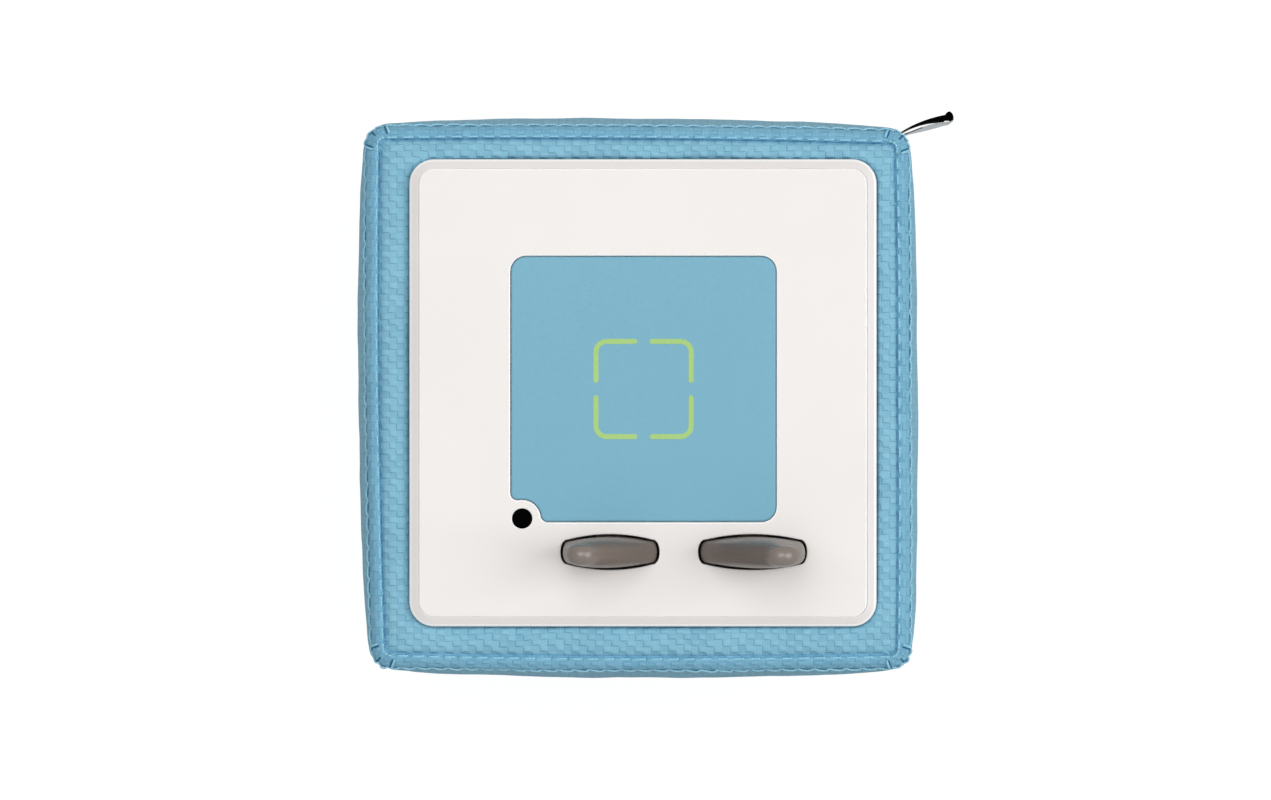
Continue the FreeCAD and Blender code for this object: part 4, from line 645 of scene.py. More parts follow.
def skin(bm, rings, finishes=(0,)):
    """Closed bands of faces through outlines of equal numbers of points, with their finishes."""
    columns = len(rings[0])
    rows = len(rings) - 1
    grid = bmesh.ops.create_grid(bm, x_segments=columns, y_segments=rows, size=0.5)["verts"]
    for face in {face for vert in grid for face in vert.link_faces}:
        row = int((face.calc_center_median().y + 0.5) * rows)
        face.material_index = finishes[min(row, len(finishes) - 1)]
    for vert in grid:
        column = round((vert.co.x + 0.5) * columns)
        row = round((vert.co.y + 0.5) * rows)
        vert.co = rings[row][column % columns]
    bmesh.ops.remove_doubles(bm, verts=grid, dist=same_point)


def fill(bm, level, left_out=()):
    """Flat faces between all open edges at one height, with the inner outlines left open."""
    rim = [
        edge for edge in bm.edges if edge.is_boundary
        and all(abs(v.co.z - level) < same_cut and v not in left_out for v in edge.verts)
    ]
    bmesh.ops.triangle_fill(bm, use_beauty=True, use_dissolve=False, edges=rim)


def outward(bm):
    """Turns all faces outwards."""
    bmesh.ops.recalc_face_normals(bm, faces=bm.faces)


def arc(centre, radius, start, end, steps):
    """Points of an arc in plan, from one angle to another in degrees."""
    turns = [math.radians(start + (end - start) * i / steps) for i in range(steps + 1)]
    return [Vector((centre[0] + radius * math.cos(a), centre[1] + radius * math.sin(a)))
            for a in turns]


def at_height(outline, z):
    """A plan outline as points at one height."""
    return [Vector((p.x, p.y, z)) for p in outline]


def rings_at(level, rows, outline):
    """Rings of an edge: (out, up) rows from a level, each with the outline that far out."""
    return [at_height(outline(out), level + up) for out, up in rows]


def square_outline(half, corner):
    """Square outline with round corners, about the middle of the player."""
    inner = half - corner
    points = []
    for turn, (sx, sy) in enumerate(((1, 1), (-1, 1), (-1, -1), (1, -1))):
        points += arc((sx * inner, sy * inner), corner, 90.0 * turn, 90.0 * turn + 90.0,
                      outline_steps)
    return points


def round_outline(radius, x, y, steps=48):
    """Circle in plan."""
    return arc((x, y), radius, 0.0, 360.0 * (steps - 1) / steps, steps - 1)


def turned(bm, profile, centre, axis=(0, 0, 1), steps=48):
    """Solid of revolution from (radius, distance along the axis) points."""
    along = Vector(axis)
    side = Vector((0, 0, 1)) if abs(along.z) < 0.5 else Vector((1, 0, 0))
    verts = [bm.verts.new(Vector(centre) + side * r + along * d) for r, d in profile]
    edges = [bm.edges.new(pair) for pair in zip(verts, verts[1:])]
    bmesh.ops.spin(
        bm, geom=verts + edges, cent=centre, axis=axis, angle=2.0 * math.pi, steps=steps,
        use_merge=True, use_duplicate=False,
    )
    bmesh.ops.remove_doubles(bm, verts=bm.verts, dist=same_point)


def kept_copy(bm, name, height, above=False):
    """Adds the part of a CAD node that lies below (or above) one height, as merged faces."""
    copy = bmesh.new()
    copy.from_mesh(frame["nodes"][name].data)
    bmesh.ops.transform(copy, matrix=Matrix.Scale(1.0 / MM, 4), verts=copy.verts)
    bmesh.ops.remove_doubles(copy, verts=copy.verts, dist=same_cut)
    bmesh.ops.bisect_plane(
        copy, geom=copy.verts[:] + copy.edges[:] + copy.faces[:], dist=same_point,
        plane_co=(0, 0, height), plane_no=(0, 0, 1), clear_outer=not above, clear_inner=above,
    )
    for face in copy.faces:
        face.material_index = 0
    mesh = bpy.data.meshes.new(name + "_kept")
    copy.to_mesh(mesh)
    copy.free()
    bm.from_mesh(mesh)
    bpy.data.meshes.remove(mesh)


def sharpened(made, degrees):
    """Shades smoothly except across edges sharper than an angle."""
    made.data.set_sharp_from_angle(angle=math.radians(degrees))


# ---------------------------------------------------------------- sewn cover
ring_share = side_columns / (side_columns + corner_columns)
ring_columns = 4 * (side_columns + corner_columns)
corner_share = (1.0 - ring_share) / 2.0


def cover_point(turn, half, corner, bow):
    """Plan point of a bowed square ring; one turn is a side and its corner, from the right."""
    side = math.floor(turn)
    share = turn - side
    inner = half - bow - corner
    if share < ring_share:
        level = -1.0 + 2.0 * share / ring_share
        local = Vector((half - bow * level * level, inner * level))
    else:
        angle = math.pi / 2.0 * (share - ring_share) / (1.0 - ring_share)
        local = Vector((inner + corner * math.cos(angle), inner + corner * math.sin(angle)))
    point = Matrix.Rotation(math.pi / 2.0 * side, 2) @ local
    free = min(1.0, max(0.0, (half - frame_half) / (groove_half - frame_half)))
    share = free * abs(point.x * point.y) / half ** 2
    across, along = corner_shift[(point.x > 0.0, point.y > 0.0)]
    out = Vector((across * math.copysign(1.0, point.x), along * math.copysign(1.0, point.y)))
    return point + out * share + cover_middle.xy * free


def cover_length(turn):
    """Length along the ring from its start, in millimetres."""
    side = math.floor(turn)
    share = turn - side
    before = side * panel_lap
    if share < ring_share:
        return before + panel_straight * share / ring_share
    return before + panel_straight + panel_corner * (share - ring_share) / (1.0 - ring_share)


def cover_profile():
    """(half width, corner radius, bow, drop below the plate's face, panel) of each ring."""
    lip = groove_half
    rings = (
        (frame_edge_half, frame_drop + 1.7, "frame"), (47.2, frame_drop + 1.6, "frame"),
        (47.6, frame_drop + 1.0, "frame"), (frame_half, frame_drop + 0.14, "frame"),
        (48.7, frame_drop - 0.15, "frame"), (49.4, frame_drop - 0.28, "frame"),
        (50.3, frame_drop - 0.34, "frame"), (51.2, frame_drop - 0.28, "frame"),
        (51.9, frame_drop - 0.02, "frame"), (52.4, frame_drop + 0.40, "frame"),
        (lip - 0.10, frame_drop + 1.15, "frame"), (lip + 0.10, frame_drop + 1.15, "band"),
        (lip + 0.38, frame_drop + 0.38, "band"), (lip + 0.85, frame_drop + 0.20, "band"),
        (lip + 1.35, frame_drop + 0.32, "band"), (lip + 1.85, frame_drop + 0.62, "band"),
        (lip + 2.30, frame_drop + 1.06, "band"), (lip + 2.62, frame_drop + 1.52, "band"),
        (lip + 2.70, frame_drop + 1.88, "band"), (seam_half - 0.45, seam_drop + 0.12, "band"),
        (seam_half - 0.12, seam_drop + 0.45, "side"),
    )
    top = []
    for half, drop, panel in rings:
        bow = groove_bow * (half - frame_edge_half) / (groove_half - frame_edge_half)
        if panel == "frame":
            share = max(0.0, (half - frame_turn_half) / (groove_half - frame_turn_half))
            corner = plate_corner + min(half, frame_turn_half) - plate_half
            corner += (groove_corner - corner) * share
        else:
            share = (half - groove_half) / (seam_half - groove_half)
            bow = groove_bow + (seam_bow - groove_bow) * share
            corner = groove_corner + (seam_corner - groove_corner) * share
        top.append((half, corner, bow, drop, panel))
    reach = plate_top / 2.0 - seam_drop
    start = math.radians(belly_start)
    side = []
    for row in range(panel_rows + 1):
        level = math.cos(start + (math.pi - 2.0 * start) * row / panel_rows)
        swell = 1.0 - abs(level) ** belly_power
        side.append((
            seam_half + (belly_depth - puff) * swell,
            seam_corner + corner_swell * swell,
            seam_bow + (panel_bow - seam_bow) * swell,
            plate_top / 2.0 - level * reach,
            "side",
        ))
    return top + side + [(h, c, b, plate_top - d, k) for h, c, b, d, k in reversed(top)]


profile = cover_profile()
profile_rows = len(profile) - 1


def cover_shape():
    """The cover with each panel's flat coordinates and every point's place on the grid."""
    bm = bmesh.new()
    panel = bm.loops.layers.uv.new("panel")
    grid = bm.loops.layers.uv.new("grid")
    bmesh.ops.create_grid(bm, x_segments=ring_columns, y_segments=profile_rows, size=0.5)
    for face in bm.faces:
        middle = face.calc_center_median()
        row = int((middle.y + 0.5) * profile_rows)
        kinds = {profile[row][4], profile[row + 1][4]}
        # the band takes the darker copy of the cloth, which is painted shade
        face.material_index = 1 if "band" in kinds else 0
        side = math.floor((middle.x + 0.5) * 4.0 + corner_share)
        panel_middle = cover_length(side + ring_share / 2.0)
        for loop in face.loops:
            turn = (loop.vert.co.x + 0.5) * 4.0
            level = (loop.vert.co.y + 0.5) * profile_rows
            half, corner, bow, drop, _ = profile[round(level)]
            along = cover_length(turn) - panel_middle
            loop[grid].uv = (turn, level)
            if kinds == {"frame"}:
                loop[panel].uv = cover_point(turn, half, corner, bow)
            elif "band" in kinds:
                across = half - groove_half + min(drop, plate_top - drop)
                loop[panel].uv = (along, across)
            else:
                loop[panel].uv = (along, drop)
    for vert in bm.verts:
        half, corner, bow, drop, _ = profile[round((vert.co.y + 0.5) * profile_rows)]
        plan = cover_point((vert.co.x + 0.5) * 4.0, half, corner, bow)
        vert.co = (plan.x, plan.y, plate_top - drop)
    bmesh.ops.remove_doubles(bm, verts=bm.verts, dist=same_point)
    outward(bm)
    return bm


def grid_places(mesh):
    """(turn, row) of every point of the cover, from its grid coordinates."""
    places = [None] * len(mesh.vertices)
    layer = mesh.uv_layers["grid"].data
    for loop in mesh.loops:
        places[loop.vertex_index] = layer[loop.index].uv.copy()
    return places


def settled(made):
    """Lets the side panels swell between their seams, and keeps the result in the mesh."""
    held = made.vertex_groups.new(name="sewn")
    for vert, (_, row) in zip(made.data.vertices, grid_places(made.data)):
        if profile[round(row)][4] != "side" or round(row) in (top_rows, profile_rows - top_rows):
            held.add([vert.index], 1.0, "REPLACE")
    swell = made.modifiers.new("swell", "CLOTH")
    swell.settings.quality = cover_quality
    swell.settings.use_pressure = True
    swell.settings.uniform_pressure_force = cover_pressure
    swell.settings.vertex_group_mass = "sewn"
    swell.settings.effector_weights.gravity = 0.0
    swell.point_cache.frame_end = settle_frames
    start = [vert.co.copy() for vert in made.data.vertices]
    for step in range(1, settle_frames + 1):
        bpy.context.scene.frame_set(step)
    graph = bpy.context.evaluated_depsgraph_get()
    swollen = [vert.co.copy() for vert in made.evaluated_get(graph).data.vertices]
    made.modifiers.remove(swell)
    bpy.context.scene.frame_set(1)
    for vert, old, new in zip(made.data.vertices, start, swollen):
        move = new - old
        vert.co = old + move * min(1.0, settle_cap * MM / max(move.length, 1e-9))


def rounded(made):
    """Applies one level of subdivision to a piece."""
    smooth = made.modifiers.new("round", "SUBSURF")
    smooth.levels = smooth.render_levels = 1
    graph = bpy.context.evaluated_depsgraph_get()
    mesh = bpy.data.meshes.new_from_object(made.evaluated_get(graph))
    made.modifiers.remove(smooth)
    made.data = mesh


def tightened(made):
    """Draws the cloth in at each stitch and lets it stand up between them."""
    for vert, (turn, row) in zip(made.data.vertices, grid_places(made.data)):
        place = Vector(vert.co) / MM
        beat = math.cos(2.0 * math.pi * cover_length(turn % 4.0) / stitch_pitch)
        from_end = min(row, profile_rows - row)
        out = Vector((place.x - cover_middle.x, place.y - cover_middle.y, 0.0)).normalized()
        up = 1.0 if row < profile_rows / 2.0 else -1.0
        inner = math.exp(-((from_end - groove_row) / groove_pucker) ** 2)
        outer = math.exp(-((from_end - outer_row) / outer_pucker) ** 2)
        ripple = sum(
            strength * noise.noise(Vector((turn * along, row * across, where)))
            for strength, along, across, where in ripples
        )
        place.z += up * pucker_depth * inner * beat
        place += out * pucker_depth * outer * beat
        place += out * ripple_depth * ripple * (1.0 - inner)
        if from_end > outer_row:
            share = (turn % 1.0) - ring_share - corner_share
            upright = math.exp(-(share * panel_lap / corner_seam_width) ** 2)
            place -= out * corner_seam_depth * upright
        vert.co = place * MM


def seated_under_ring(made):
    """Lays the back panel flat under the socket's ring and cuts the hole for its barrel."""
    def away(point):
        return math.hypot(point.x / MM - ring_middle.x, point.z / MM - ring_middle.z)

    bm = bmesh.new()
    bm.from_mesh(made.data)
    back = [face for face in bm.faces if face.calc_center_median().y > 0.0]
    near = {edge for face in back if away(face.calc_center_median()) < flange_radius
            for edge in face.edges}
    bmesh.ops.subdivide_edges(bm, edges=list(near), cuts=2, use_grid_fill=True)
    seat = (ring_low.y + ring_sunk) * MM
    for vert in bm.verts:
        if vert.co.y < 0.0:
            continue
        share = min(1.0, max(0.0, (away(vert.co) - flange_radius - ring_clear) / ring_ease))
        share = share * share * (3.0 - 2.0 * share)
        vert.co.y = seat + (vert.co.y - seat) * share
    inside = [face for face in bm.faces if face.calc_center_median().y > 0.0
              and away(face.calc_center_median()) < ring_hole]
    bmesh.ops.delete(bm, geom=inside, context="FACES")
    bm.to_mesh(made.data)
    bm.free()


cover = piece("cover", cover_shape(), [cloth, shaded_band_cloth], replaced=["fabric_cover"])
settled(cover)
rounded(cover)
tightened(cover)
seated_under_ring(cover)
cover_tree = BVHTree.FromPolygons(
    [vert.co / MM for vert in cover.data.vertices],
    [face.vertices[:] for face in cover.data.polygons],
)
cover.data.uv_layers.remove(cover.data.uv_layers["grid"])
cover.data.uv_layers["panel"].active_render = True


def seated(half, bow, corner, drop, length, proud, tilt):
    """A point on the cloth under a ring, the way it stands out and the direction of the seam."""
    side = math.floor(length / panel_lap)
    rest = length - side * panel_lap
    if rest < panel_straight:
        turn = side + ring_share * rest / panel_straight
    else:
        turn = side + ring_share + (1.0 - ring_share) * (rest - panel_straight) / panel_corner
    here = cover_point(turn % 4.0, half, corner, bow)
    ahead = cover_point((turn + turn_step) % 4.0, half, corner, bow)
    along = Vector((ahead.x - here.x, ahead.y - here.y, 0.0)).normalized()
    up = math.copysign(math.cos(math.radians(tilt)), plate_top / 2.0 - drop)
    out = math.sin(math.radians(tilt))
    away = Vector((along.y * out, -along.x * out, up))
    start = Vector((here.x, here.y, plate_top - drop)) + away * ray_reach
    point = cover_tree.ray_cast(start, -away, 2.0 * ray_reach)[0]
    return point + away * proud, away, along


def strand(bm, line, radius, closed=False, material=0):
    """A round thread along a line of points."""
    rings = []
    count = len(line)
    turns = [2.0 * math.pi * step / thread_sides for step in range(thread_sides)]
    for index, point in enumerate(line):
        ahead = line[(index + 1) % count] if closed or index < count - 1 else point
        behind = line[index - 1] if closed or index else point
        along = (ahead - behind).normalized()
        across = along.cross(nearly_up).normalized()
        upright = across.cross(along)
        rings.append([
            point + across * (radius * math.cos(a)) + upright * (radius * math.sin(a))
            for a in turns
        ])
    if closed:
        rings.append(rings[0])
    skin(bm, rings, (material,))


def seam_line(half, bow, corner, drop, tilt, samples, proud, aside):
    """Closed line of a thread along a seam; proud and aside give its place within a stitch."""
    length = 4.0 * panel_lap
    count = round(length / stitch_pitch) * samples
    line = []
    for index in range(count):
        beat = (index / samples) % 1.0
        centre, away, along = seated(
            half, bow, corner, drop, length * index / count, proud(beat), tilt
        )
        line.append(centre + away.cross(along).normalized() * aside(beat))
    return line


def both_ends(drop):
    """The same height below the plate and above the table."""
    return (drop, plate_top - drop)


def groove_stitches():
    """Thread of the inner seam: two millimetres on the cloth, then under it, over a dark strand of
    painted shade in the fold.
    """
    bm = bmesh.new()
    for drop in both_ends(groove_drop):
        for side in range(4):
            start = side * panel_lap + fold_inset
            reach = panel_straight - 2.0 * fold_inset
            fold = [
                seated(groove_half, groove_bow, groove_corner, drop,
                       start + reach * step / fold_steps, fold_rise[side], 0.0)[0]
                for step in range(fold_steps + 1)
            ]
            strand(bm, fold, fold_radius, material=1)
        line = seam_line(
            groove_half + groove_thread_out, groove_bow, groove_corner, drop, groove_tilt,
            groove_samples, lambda beat: groove_proud if beat < groove_over else groove_sunk,
            lambda beat: 0.0,
        )
        strand(bm, line, thread_radius, closed=True)
    return bm


def chain_seam():
    """Outer seam: a thread that bows outwards at every stitch, beside a slit it holds open, drawn
    as a dark strand of painted shadow.
    """
    bm = bmesh.new()
    opens, closes = slit_open
    for drop in both_ends(chain_drop):
        seam = (chain_half, seam_bow, seam_corner, drop, chain_tilt, chain_samples)
        line = seam_line(
            *seam, lambda beat: chain_proud,
            lambda beat: chain_aside - chain_bow * math.sin(math.pi * beat) ** chain_power,
        )
        strand(bm, line, thread_radius, closed=True)
        slit = seam_line(
            *seam, lambda beat: slit_proud if opens < beat < closes else slit_sunk,
            lambda beat: chain_aside,
        )
        strand(bm, slit, slit_radius, closed=True, material=1)
    return bm


def corner_tacks():
    """Threads that tie the band down at both ends of each rounded corner, with dark strands of
    painted shadow beside them and along its mitre.
    """
    bm = bmesh.new()
    # (place in a lap, slant, start between the stitch lines, radius, proud, material, aside)
    strokes = []
    for share, slant in ((ring_share, tack_run), (1.0, -tack_run)):
        strokes.append((share, slant, 0.30, thread_radius * 1.25, 0.16, 0, 0.0))
        strokes.append((share, slant, 0.30, tack_slit_radius, 0.04, 1, slant * 0.45))
    strokes.append(((ring_share + 1.0) / 2.0, 0.0, 0.45, tack_slit_radius, 0.03, 1, 0.0))
    for upper in (True, False):
        for quarter in range(4):
            for share, slant, start, radius, proud, material, aside in strokes:
                line = []
                for step in range(tack_steps + 1):
                    t = start + (1.0 - start) * step / tack_steps
                    half = groove_half + (seam_half + tack_reach - groove_half) * t
                    drop = groove_drop + (seam_drop - groove_drop) * t
                    drop = drop if upper else plate_top - drop
                    corner = groove_corner + (seam_corner - groove_corner) * t
                    bow = groove_bow + (seam_bow - groove_bow) * t
                    place = cover_length(quarter + share - 1e-6) + aside - slant * (1.0 - t)
                    line.append(seated(half, bow, corner, drop, place, proud, tack_tilt * t)[0])
                strand(bm, line, radius, material=material)
    return bm


def foam_shape():
    """Foam jacket just inside the cloth, from the upper frame to the lower one."""
    bm = bmesh.new()
    rings = []

    def add_ring(half, corner, bow, z):
        rings.append([
            Vector((*cover_point(4.0 * step / ring_columns, half, corner, bow), z))
            for step in range(0, ring_columns, 2)
        ])

    for half, corner, bow, drop, _ in profile:
        if foam_rows_from < drop < plate_top - foam_rows_from:
            z = min(max(plate_top - drop, foam_end), plate_top - foam_end)
            add_ring(half - foam_gap, corner, bow, z)
    for z in both_ends(foam_end):
        add_ring(foam_bore_half, foam_bore_corner, 0.0, z)
    rings.append(rings[0])
    skin(bm, rings)
    bmesh.ops.remove_doubles(bm, verts=bm.verts, dist=same_cut)
    outward(bm)
    return bm


piece("foam_padding", foam_shape(), [slot_materials["foam"]],
      replaced=["foam_jacket"])
piece("groove_stitches", groove_stitches(), [thread, stitch_shadow_finish])
piece("chain_seam", chain_seam(), [thread, stitch_shadow_finish])
piece("corner_tacks", corner_tacks(), [thread, stitch_shadow_finish])


# ---------------------------------------------------------------- ribbon loop
def through(start, middle, end, steps):
    """Points of the arc in plan through three points, without the last one."""
    ax, ay = middle - start
    bx, by = end - start
    twice = 2.0 * (ax * by - ay * bx)
    ux = (by * (ax * ax + ay * ay) - ay * (bx * bx + by * by)) / twice
    uy = (ax * (bx * bx + by * by) - bx * (ax * ax + ay * ay)) / twice
    centre = start + Vector((ux, uy))
    arms = [p - centre for p in (start, middle, end)]
    angles = [math.atan2(arm.y, arm.x) for arm in arms]
    sweep = (angles[2] - angles[0]) % (2.0 * math.pi)
    if (angles[1] - angles[0]) % (2.0 * math.pi) > sweep:
        sweep -= 2.0 * math.pi
    radius = arms[0].length
    return [
        centre + radius * Vector((math.cos(a), math.sin(a)))
        for a in (angles[0] + sweep * i / steps for i in range(steps))
    ]


def ribbon_line():
    """Centre line of the folded ribbon in plan."""
    corner = cover_middle.xy + Vector((seam_half, seam_half))
    root, upper_leg, upper_end, tip, lower_end, lower_leg, last = [
        corner + Vector(p) for p in ribbon_points
    ]
    line = through(root, upper_leg, upper_end, leg_steps)
    line += through(upper_end, tip, lower_end, fold_tip_steps)
    return line + through(lower_end, lower_leg, last, leg_steps) + [last]


def ribbon_tilt(out, far):
    """Degrees that the ribbon leans to the back, from shares of its reach and its length."""
    lean = ribbon_lean * out ** lean_power
    back = min(1.0, max(0.0, (far - return_from) / return_over))
    start, over = return_open
    opened = math.sin(math.pi * min(1.0, max(0.0, (out - start) / over)))
    return lean + (ribbon_return_lean * opened - lean) * back


def ribbon_shape():
    """Folded ribbon whose top edge leans back towards the tip, and its length."""
    line = ribbon_line()
    lengths = [0.0]
    for one, two in zip(line, line[1:]):
        lengths.append(lengths[-1] + (two - one).length)
    reach = max((p - line[0]).length for p in line)
    middle = (ribbon_low + ribbon_high) / 2.0
    leans = [
        math.tan(math.radians(ribbon_tilt((p - line[0]).length / reach, far / lengths[-1])))
        for p, far in zip(line, lengths)
    ]
    bm = bmesh.new()
    panel = bm.loops.layers.uv.new("panel")
    columns = len(line) - 1
    bmesh.ops.create_grid(bm, x_segments=columns, y_segments=ribbon_rows, size=0.5)
    for face in bm.faces:
        far = lengths[round((face.calc_center_median().x + 0.5) * columns)] / lengths[-1]
        if black_edge_from < far < pale_edge_from:
            face.material_index = black_edge
        else:
            face.material_index = pale_edge if pale_edge_from <= far < pale_edge_to else grey_edge
        for loop in face.loops:
            column = round((loop.vert.co.x + 0.5) * columns)
            loop[panel].uv = (lengths[column], (loop.vert.co.y + 0.5) * ribbon_width)
    for vert in bm.verts:
        column = round((vert.co.x + 0.5) * columns)
        row = round((vert.co.y + 0.5) * ribbon_rows)
        z = ribbon_low + (ribbon_high - ribbon_low) * row / ribbon_rows
        vert.co = (line[column].x, line[column].y + leans[column] * (z - middle), z)
    bm.normal_update()
    tip_face = max(bm.faces, key=lambda face: face.calc_center_median().x)
    if tip_face.normal.x < 0.0:
        bmesh.ops.reverse_faces(bm, faces=bm.faces)
    return bm, lengths[-1]


ribbon_mesh, ribbon_length = ribbon_shape()
# face, back and edge where the edge is grey, pale and black
ribbon = piece(
    "ribbon_loop", ribbon_mesh,
    [
        ribbon_face, ribbon_back, ribbon_edge,
        ribbon_face, ribbon_back, ribbon_face,
        ribbon_face, ribbon_back, ribbon_back,
    ],
    replaced=["tag_loop"],
)
ribbon_wall = ribbon.modifiers.new("ribbon_thickness", "SOLIDIFY")
ribbon_wall.thickness = ribbon_thickness * MM
ribbon_wall.offset = -1.0
ribbon_wall.material_offset = 1
ribbon_wall.material_offset_rim = 2


# ---------------------------------------------------------------- top plate
def bearing(start, end):
    """Direction in plan from one point to another, in degrees."""
    return math.degrees(math.atan2(end.y - start.y, end.x - start.x))


def pad_outline(offset):
    """Outline of the pad, moved out by an offset, with its notch round the lens."""
    steps = pad_steps
    half = pad_half + offset
    corner = pad_corner + offset
    tip = notch_round + offset
    notch = notch_radius - offset
    left = pad_middle.x - half
    front = pad_middle.y - half
    inner = half - corner
    points = []
    for turn, (sx, sy) in enumerate(((1, 1), (-1, 1))):
        centre = (pad_middle.x + sx * inner, pad_middle.y + sy * inner)
        points += arc(centre, corner, 90.0 * turn, 90.0 * turn + 90.0, steps)
    reach = notch + tip
    rise = math.sqrt(reach ** 2 - (left + tip - lens_middle.x) ** 2)
    upper = Vector((left + tip, lens_middle.y + rise))
    run = math.sqrt(reach ** 2 - (front + tip - lens_middle.y) ** 2)
    lower = Vector((lens_middle.x + run, front + tip))
    points += arc(upper, tip, 180.0, bearing(upper, lens_middle) % 360.0, steps)
    points += arc(lens_middle, notch, bearing(lens_middle, upper),
                  bearing(lens_middle, lower), steps + 4)[1:-1]
    points += arc(lower, tip, bearing(lower, lens_middle) % 360.0, 270.0, steps)
    points += arc((pad_middle.x + inner, pad_middle.y - inner), corner, 270.0, 360.0, steps)
    return points


def squared(value):
    """A sine or cosine raised towards the corners of a squarish oval."""
    return math.copysign(abs(value) ** blunt_power, value)


def lens_section(length, thickness, x, y, z, roundness=0.0):
    """Blunt-ended lens outline, bowed on all sides, that turns into an oval with roundness."""
    half = length / 2.0
    depth = min(thickness * blunt_depth_share, half * 0.5)
    shoulder = half - depth
    ring = []
    for sx in (1.0, -1.0):
        for step in range(end_steps + side_steps):
            if step < end_steps:
                angle = math.radians(-90.0 + 180.0 * step / end_steps)
                across = shoulder + depth * math.cos(angle) ** blunt_power
                deep = math.sin(angle) * thickness * blunt_share / 2.0
                turn = math.radians(-end_angle + 2.0 * end_angle * step / end_steps)
            else:
                along = (step - end_steps) / side_steps
                share = 1.0 - 2.0 * along
                across = shoulder * share
                deep = thickness / 2.0 * (1.0 - (1.0 - blunt_share) * share * share)
                turn = math.radians(end_angle + (180.0 - 2.0 * end_angle) * along)
            across += (half * squared(math.cos(turn)) - across) * roundness
            deep += (thickness / 2.0 * squared(math.sin(turn)) - deep) * roundness
            ring.append(Vector((x + sx * across, y + sx * deep, z)))
    return ring


# (outwards, up, finish) from the upright edge over the ring to the flat face, and from the face
# into a hole: 0 is the grained face, 1 the slot lining of painted shadow, 2 the polished edges with
# painted highlight and 3 the matt ring with painted shade
plate_rows = (
    (-0.30, -2.40, 0), (-0.02, -2.22, 0), (0.0, -2.05, 0), (0.0, -1.22, 2), (-0.08, -0.98, 2),
    (-0.26, -0.80, 2), (-0.50, -0.68, 3), (-1.05, -0.48, 3), (-1.75, -0.24, 3),
    (-1.91, -0.19, 3), (-1.93, -0.45, 3), (-2.06, -0.45, 2), (-2.08, -0.07, 2),
    (-2.13, -0.02, 2), (-2.24, 0.0, 0), (-2.6, 0.0, 0),
)
hole_rows = (
    (0.50, 0.0, 0), (0.26, 0.0, 2), (0.12, -0.03, 2), (0.03, -0.11, 2), (0.0, -0.24, 2),
)


def plate_shape():
    """Moulded face with its stepped ring, pocket, lens hole and ear slots, on the CAD ribs."""
    bm = bmesh.new()
    under = plate_top - plate_thickness
    floor = plate_top - pocket_depth
    kept_copy(bm, "top_plate", under - kept_gap)
    kept = set(bm.verts)
    rings = rings_at(plate_top, [row[:2] for row in plate_rows], lambda out: square_outline(
        plate_half + out, plate_corner + out))
    skin(bm, rings, [row[2] for row in plate_rows])
    hole_edge = [row[:2] for row in hole_rows]
    finishes = [row[2] for row in hole_rows]
    rings = rings_at(plate_top, hole_edge, lambda out: pad_outline(pocket_gap + out))
    skin(bm, rings + [at_height(pad_outline(pocket_gap), floor)], finishes)
    for length, x in ((small_slot, small_x), (large_slot, large_x)):
        skin(bm, [
            lens_section(length + 2 * out, slot_width + 2 * out, x, ear_y, plate_top + up)
            for out, up in hole_edge
        ], finishes)
        skin(bm, [lens_section(length, slot_width, x, ear_y, z)
                  for z in (plate_top + hole_edge[-1][1], under)], [1])
    hole = lens_radius + lens_gap
    rings = rings_at(plate_top, hole_edge, lambda out: round_outline(
        hole + out * lens_hole_share, *lens_middle))
    skin(bm, rings + [at_height(round_outline(hole, *lens_middle), under)], finishes)
    for level in (plate_top, floor, under):
        fill(bm, level, kept)
    bmesh.ops.remove_doubles(bm, verts=[v for v in bm.verts if v not in kept], dist=same_cut)
    return bm


def pad_shape():
    """Soft pad with a small rounded edge."""
    bm = bmesh.new()
    rows = ((0.0, -pocket_depth), (0.0, -0.14), (-0.02, -0.02), (-0.07, 0.07), (-0.16, 0.13),
            (-0.28, pad_proud), (-0.6, pad_proud))
    skin(bm, rings_at(plate_top, rows, pad_outline))
    fill(bm, plate_top + pad_proud)
    fill(bm, plate_top - pocket_depth)
    outward(bm)
    return bm


def mark_outline(sx, sy, offset):
    """Outline of one corner bracket with round ends, moved out by an offset."""
    stroke = mark_stroke / 2.0 + offset
    line = mark_half - mark_stroke / 2.0
    end = (mark_gap + mark_stroke) / 2.0
    radius = mark_corner - mark_stroke / 2.0
    bend = line - radius
    points = arc((bend, bend), radius + stroke, 90.0, 0.0, outline_steps)
    points += arc((line, end), stroke, 0.0, -180.0, outline_steps)
    points += arc((bend, bend), radius - stroke, 0.0, 90.0, outline_steps)
    points += arc((end, line), stroke, -90.0, -270.0, outline_steps)
    return [Vector((pad_middle.x + sx * p.x, pad_middle.y + sy * p.y)) for p in points]


def marks_shape():
    """Printed brackets, a film that stands a hair above the pad."""
    bm = bmesh.new()
    face = marks_high.z
    rows = ((0.0, -mark_root), (0.0, mark_film / 2.0), (-0.03, mark_film), (-0.12, mark_film))
    for sx, sy in quarters:
        skin(bm, rings_at(face, rows, lambda out: mark_outline(sx, sy, out)))
    fill(bm, face + mark_film)
    fill(bm, face - mark_root)
    outward(bm)
    return bm


